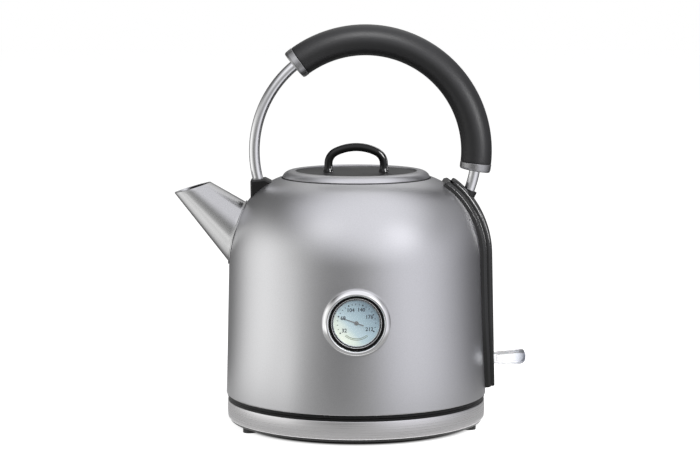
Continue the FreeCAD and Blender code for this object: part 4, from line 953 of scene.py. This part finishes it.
# %% Cover surface
COVER_INSET, COVER_FOOT, EDGE_COUNT = FRAME_RIM + GROOVE, 3 * HAIR, 6
cover_end = panel_end - COVER_INSET
edge_steps = COVER_EDGE * (1 - np.cos(np.linspace(0, math.pi / 2, EDGE_COUNT)))
inner_rows = np.linspace(panel_start + COVER_EDGE, cover_end - COVER_EDGE, 130)[1:-1]
row_length = np.concatenate([[panel_start], panel_start + edge_steps, inner_rows,
                             cover_end - edge_steps[::-1], [cover_end]])
share = np.linspace(-1, 1, 38)[1:-1]
column_side = np.concatenate([-np.ones(EDGE_COUNT + 1), share, np.ones(EDGE_COUNT + 1)])
column_shift = np.concatenate([[0], edge_steps, -COVER_EDGE * share, -edge_steps[::-1], [0]])


def lifted(count):
    """1 for every row or column but the first and last, which lie at the foot of the side walls."""
    lift = np.ones(count)
    lift[[0, -1]] = 0
    return lift


def cover_half(length):
    """Half width of the cover up the wall: the panel's outline drawn in, with small round corners."""
    to_end = np.clip(np.minimum(length - panel_start, cover_end - length), 0, COVER_CORNER)
    corner = COVER_CORNER - np.sqrt(COVER_CORNER ** 2 - (COVER_CORNER - to_end) ** 2)
    return panel_half(COVER_INSET, length, COVER_DEPTH) - corner


def cover_surface(row, column):
    """Cover point for grid numbers: flat at full depth, bent down by a quarter circle along every edge."""
    rows, columns = np.arange(len(row_length)), np.arange(len(column_side))
    length = np.interp(row, rows, row_length)
    half = cover_half(length)
    y = np.interp(column, columns, column_side) * half + np.interp(column, columns, column_shift)
    to_edge = np.minimum.reduce([half - np.abs(y), length - panel_start, cover_end - length])
    to_edge = np.clip(to_edge, 0, COVER_EDGE)
    depth = COVER_DEPTH - COVER_EDGE + np.sqrt(COVER_EDGE ** 2 - (COVER_EDGE - to_edge) ** 2)
    row_lift = np.interp(row, rows, lifted(len(rows)))
    lift = np.minimum(row_lift, np.interp(column, columns, lifted(len(columns))))
    return on_panel(y, length, COVER_FOOT + lift * (depth - COVER_FOOT))


# %% Cover strip
SOCKET_RADIUS = 5.25
socket_turn = math.radians(ROD_REAR)
socket_at = arc_points(HANDLE_X, handle_z, HANDLE_RADIUS, socket_turn)


def socket_gap(points):
    """Distance outside the round socket that carries the rear end of the rod."""
    x, z = points[..., 0] - socket_at[0], points[..., 2] - socket_at[1]
    off = x * math.cos(socket_turn) + z * math.sin(socket_turn)
    gap = np.hypot(off, points[..., 1]) - SOCKET_RADIUS - HAIR
    return np.where(points[..., 2] > window_high[2], gap, foot_radius)


def cover_gap(points):
    """Distance from the nearest opening of the cover, negative inside one."""
    low, high = window_low[2] + WINDOW_FLANGE, window_high[2] - WINDOW_FLANGE
    window = slot_gap(points, WINDOW_HALF + HAIR, low, high)
    return np.minimum.reduce([window, box_gap(points, *LEVER_SLOT), socket_gap(points)])


points, faces = punched(cover_surface, np.arange(len(row_length)), np.arange(len(column_side)), cover_gap)
cover = add_piece("panel_cover", points, "kettle", panel_black, ("back_cover",), faces)
thicken(cover, COVER_WALL)

# %% [markdown]
# ## The dial
# A chromed bezel, a black ring that is painted shade in the recess inside the bezel, a thin bright rim and a
# slightly domed lens are turned about the dial's own axis, which points at the viewer, and so are the dial's
# plate and its pale edge. The bezel's back edges have to follow the round body, so the first and last rows of
# its outline are dropped onto the wall.

# %% Bezel, mask, rim and lens
BEZEL_RADIUS, BEZEL_INNER, BEZEL_DEPTH = 22.5, 18.2, 5.2
DIAL_FRONT, CAN_FRONT, RIM_OUTER, LENS_RADIUS, LENS_BACK, LENS_THICK = 1.1, 1.6, 16.45, 15.95, 1.85, 1.0
RIM_WIDTH, RIM_FRONT, EDGE_RADIUS, BEZEL_CREST = 0.42, 3.0, 15.35, 19.4
RECESS_SHADE_INNER, RECESS_SHADE_FRONT, LENS_EDGE = 15.0, 1.7, 0.8
# Height of the bezel's side and of its inner edge, and where its front and its slope pass between.
BEZEL_SIDE, BEZEL_LIP = 1.6, 4.1
bezel_front, bezel_slope = (BEZEL_RADIUS - 1.2, 3.7), (BEZEL_INNER + 0.4, 4.95)
dial_wall = float(wall_radius(dial_z))


def facing(x, y, h):
    """Turned coordinates on the front of the body: y becomes height, and h stands out to the viewer."""
    return np.stack([x, -dial_wall - h - 0 * x, dial_z + y], -1)


front = arc((BEZEL_RADIUS, BEZEL_SIDE), bezel_front, (BEZEL_CREST, BEZEL_DEPTH), 14)
slope = arc((BEZEL_CREST, BEZEL_DEPTH), bezel_slope, (BEZEL_INNER, BEZEL_LIP), 8)[1:]
bezel_outline = np.concatenate([[(BEZEL_RADIUS, 0)], front, slope,
                                [(BEZEL_INNER, RECESS_SHADE_FRONT), (BEZEL_INNER, 0)]])
bezel = turned(bezel_outline, 144, facing)
for row in (0, -1):
    bezel[row, :, 1] = -np.sqrt(wall_radius(bezel[row, :, 2]) ** 2 - bezel[row, :, 0] ** 2)
bezel = np.concatenate([bezel, bezel[:1]])
add_piece("bezel", bezel, "kettle", chrome, ("gauge_bezel",))
# Painted shade: a gloss black ring fills the recess between the bezel and the rim, where the recess lies in
# shade.
recess_shade = rounded([(RECESS_SHADE_INNER, CAN_FRONT, 0), (BEZEL_INNER - HAIR, CAN_FRONT, 0),
                (BEZEL_INNER - HAIR, RECESS_SHADE_FRONT, 0), (RECESS_SHADE_INNER, RECESS_SHADE_FRONT, 0)])
add_piece("dial_mask", turned(recess_shade, 144, facing), "kettle", gloss_black)
rim = rounded([(RIM_OUTER - RIM_WIDTH, CAN_FRONT, 0), (RIM_OUTER, CAN_FRONT, 0), (RIM_OUTER, RIM_FRONT, 0.2),
               (RIM_OUTER - RIM_WIDTH, RIM_FRONT, 0.2)])
add_piece("dial_rim", turned(rim, 144, facing), "kettle", chrome, ("gauge_rim",))
lens_front = LENS_BACK + LENS_THICK
dome = arc((LENS_RADIUS, LENS_BACK + LENS_EDGE), (LENS_RADIUS * math.sqrt(0.5), lens_front),
           (0, lens_front), 10)
lens = np.concatenate([[(0, LENS_BACK), (LENS_RADIUS, LENS_BACK)], dome])
glass = add_piece("dial_glass", turned(lens, 96, facing), "kettle", lens_glass, ("gauge_lens",))
glass.visible_shadow = False

# %% Dial face
# Painted reflection: the plate runs from pale cream at the lower left to dark blue-grey at the upper right,
# for the glass's reflection over a pale plate.
FACE_RADIUS, FACE_BACK, DIAL_REFLECTION_SLANT = 14.9, 0.7, (26.0, 0, 22.0)
dial_face = new_finish("dial_face", roughness=0.4)
reflection_middle = DIAL_REFLECTION_SLANT[2] * dial_z * MM
vary_colour(dial_face, along(dial_face, DIAL_REFLECTION_SLANT, reflection_middle - 0.5, reflection_middle + 0.5),
            [(0.0, (0.50, 0.52, 0.44)), (0.2, (0.40, 0.44, 0.39)), (0.34, (0.27, 0.335, 0.355)),
             (0.62, (0.205, 0.27, 0.295)), (0.85, (0.15, 0.205, 0.235)), (1.0, (0.12, 0.17, 0.20))])
face = rounded([(0, FACE_BACK, 0), (FACE_RADIUS, FACE_BACK, 0), (FACE_RADIUS, DIAL_FRONT, 0.1),
                (0, DIAL_FRONT, 0)])
add_piece("dial_plate", turned(face, 96, facing), "kettle", dial_face, ("gauge_dial",))
dial_white = grained("dial_white", 900, (0.35, 0.5), base_color=(0.56, 0.60, 0.62))
edge_ring = rounded([(FACE_RADIUS, DIAL_FRONT, 0), (EDGE_RADIUS, RECESS_SHADE_FRONT, 0),
                     (EDGE_RADIUS, RECESS_SHADE_FRONT + HAIR, 0.03), (FACE_RADIUS, DIAL_FRONT + 2 * HAIR, 0.05)])
add_piece("dial_edge", turned(edge_ring, 144, facing), "kettle", dial_white)


# %% Plates of print
PRINT_LOW, PRINT_HIGH = DIAL_FRONT - 0.02, DIAL_FRONT + 0.03
NUMBERS = {"32": 212.0, "68": 159.5, "104": 114.0, "140": 70.5, "176": 26.5, "212": -25.5}
NUMBER_RADIUS, NUMBER_SIZE, BOLD = 9.3, 3.4, 0.1
TICK_RADIUS, TICK_REACH, TICK_HALF, DOT_RADIUS = 12.4, 0.5, 0.2, 0.55


def raised(outline):
    """A flat outline on the dial as a thin closed plate: points below, points above, and the sides."""
    count = len(outline)
    k = np.arange(count)
    low = facing(outline[:, 0], outline[:, 1], PRINT_LOW)
    high = facing(outline[:, 0], outline[:, 1], PRINT_HIGH)
    sides = np.stack([k, np.roll(k, -1), np.roll(k, -1) + count, k + count], -1).tolist()
    return np.concatenate([low, high]), sides + [k[::-1].tolist(), (k + count).tolist()]


def number_plate(text, x, y):
    """A number in Blender's own font, turned into a mesh and laid on the dial."""
    curve = bpy.data.curves.new("number", "FONT")
    curve.body = text
    curve.size = NUMBER_SIZE
    curve.align_x, curve.align_y = "CENTER", "CENTER"
    curve.extrude = (PRINT_HIGH - PRINT_LOW) / 2
    curve.offset = BOLD
    curve.resolution_u = 3
    holder = bpy.data.objects.new("number", curve)
    mesh = bpy.data.meshes.new_from_object(holder)
    flat = np.empty(3 * len(mesh.vertices))
    mesh.vertices.foreach_get("co", flat)
    flat = flat.reshape(-1, 3)
    faces = [list(face.vertices) for face in mesh.polygons]
    bpy.data.objects.remove(holder)
    bpy.data.meshes.remove(mesh)
    return facing(flat[:, 0] + x, flat[:, 1] + y, flat[:, 2] + (PRINT_LOW + PRINT_HIGH) / 2), faces


def merged(plates):
    """Points and faces of several small meshes as one."""
    starts = np.cumsum([0] + [len(points) for points, faces in plates])
    faces = [[int(start) + k for k in face] for start, plate in zip(starts, plates) for face in plate[1]]
    return np.concatenate([points for points, faces in plates]), faces


# %% Numbers, marks and arcs
marks = []
angles = list(NUMBERS.values())
for text, angle in NUMBERS.items():
    marks.append(number_plate(text, *polar(NUMBER_RADIUS, angle)))
    marks.append(raised(polar(TICK_RADIUS, angle) + polar(DOT_RADIUS, np.arange(0, 360, 30))))
tick = np.array([(-1, -1), (1, -1), (1, 1), (-1, 1)]) * [TICK_REACH, TICK_HALF] + [TICK_RADIUS, 0]
for first, last in zip(angles, angles[1:]):
    for angle in np.linspace(first, last, 5)[1:-1]:
        marks.append(raised(tick @ np.array([polar(1.0, angle), polar(1.0, angle + 90)])))
print_ink = grained("print_ink", 900, (0.45, 0.6), base_color=(0.012, 0.016, 0.024))
points, faces = merged(marks)
add_piece("dial_print", points, "kettle", print_ink, (), faces)
olive_ink = grained("olive_ink", 900, (0.45, 0.6), base_color=(0.05, 0.06, 0.015))
ARC_RADII, ARC_HALF, ARC_START, ARC_END = (10.2, 11.1), 0.16, 228, 312
sweep = np.linspace(ARC_START, ARC_END, 40)
stripes = [raised(np.concatenate([polar(radius + ARC_HALF, sweep), polar(radius - ARC_HALF, sweep[::-1])]))
           for radius in ARC_RADII]
points, faces = merged(stripes)
add_piece("dial_arc", points, "kettle", olive_ink, (), faces)

# %% [markdown]
# ## The base band
# The power base wears a steel band, slightly barrel shaped, with its edges rolled in. It is a turned sheet
# with a hole at the back for the cord's bush, made in the same way as the holes in the body.

# %% Band
BAND_CROWN, BAND_HEM, BUSH_RADIUS, BAND_COLUMNS = 0.25, 0.45, 4.9, 288
band_low, band_high = span("base_band")
bush_low, bush_high = span("cord_gland")
bush_z = (bush_low[2] + bush_high[2]) / 2
band_edge = band_high[0] - BAND_CROWN
barrel = arc((band_edge, band_low[2] + BAND_HEM), (band_high[0], (band_low[2] + band_high[2]) / 2),
             (band_edge, band_high[2] - BAND_HEM), 22)
low_hem = arc_points(band_edge - BAND_HEM, band_low[2] + BAND_HEM, BAND_HEM, quarter - math.pi / 2)[:-1]
high_hem = arc_points(band_edge - BAND_HEM, band_high[2] - BAND_HEM, BAND_HEM, quarter)[1:]
band_profile = np.concatenate([low_hem, barrel, high_hem])


def bush_gap(points):
    """Distance outside the round hole of the cord's bush; far away in front."""
    gap = np.hypot(points[..., 0], points[..., 2] - bush_z) - BUSH_RADIUS
    return np.where(points[..., 1] > 0, gap, foot_radius)


points, faces = turned_sheet(band_profile, BAND_COLUMNS, -math.pi / 2, bush_gap)
band = add_piece("steel_band", points, "power_base", band_steel, ("base_band",), faces)
thicken(band, BAND_HEM)

# %% [markdown]
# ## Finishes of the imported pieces
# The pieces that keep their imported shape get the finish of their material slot. A few differ from the rest
# of their slot: the moulded parts of the handle's ends have the panel's finish. Last, the small lamps get
# the pieces that they light.

# %% Hand out the finishes
PANEL_PIECES = ("front_bracket", "rear_socket")
GLINT_PIECES = ("knob_arch", "panel_frame", "panel_cover")
for part in frame["record"]["subparts"]:
    finish = panel_black if part["node"] in PANEL_PIECES else finishes[part["material_slot"]]
    for slot in frame["nodes"][part["node"]].material_slots:
        slot.material = finish
for name in GLINT_PIECES:
    black_parts.objects.link(bpy.data.objects[name])
grip_alone.objects.link(bpy.data.objects["grip"])

# %% Update the view layer
bpy.context.view_layer.update()
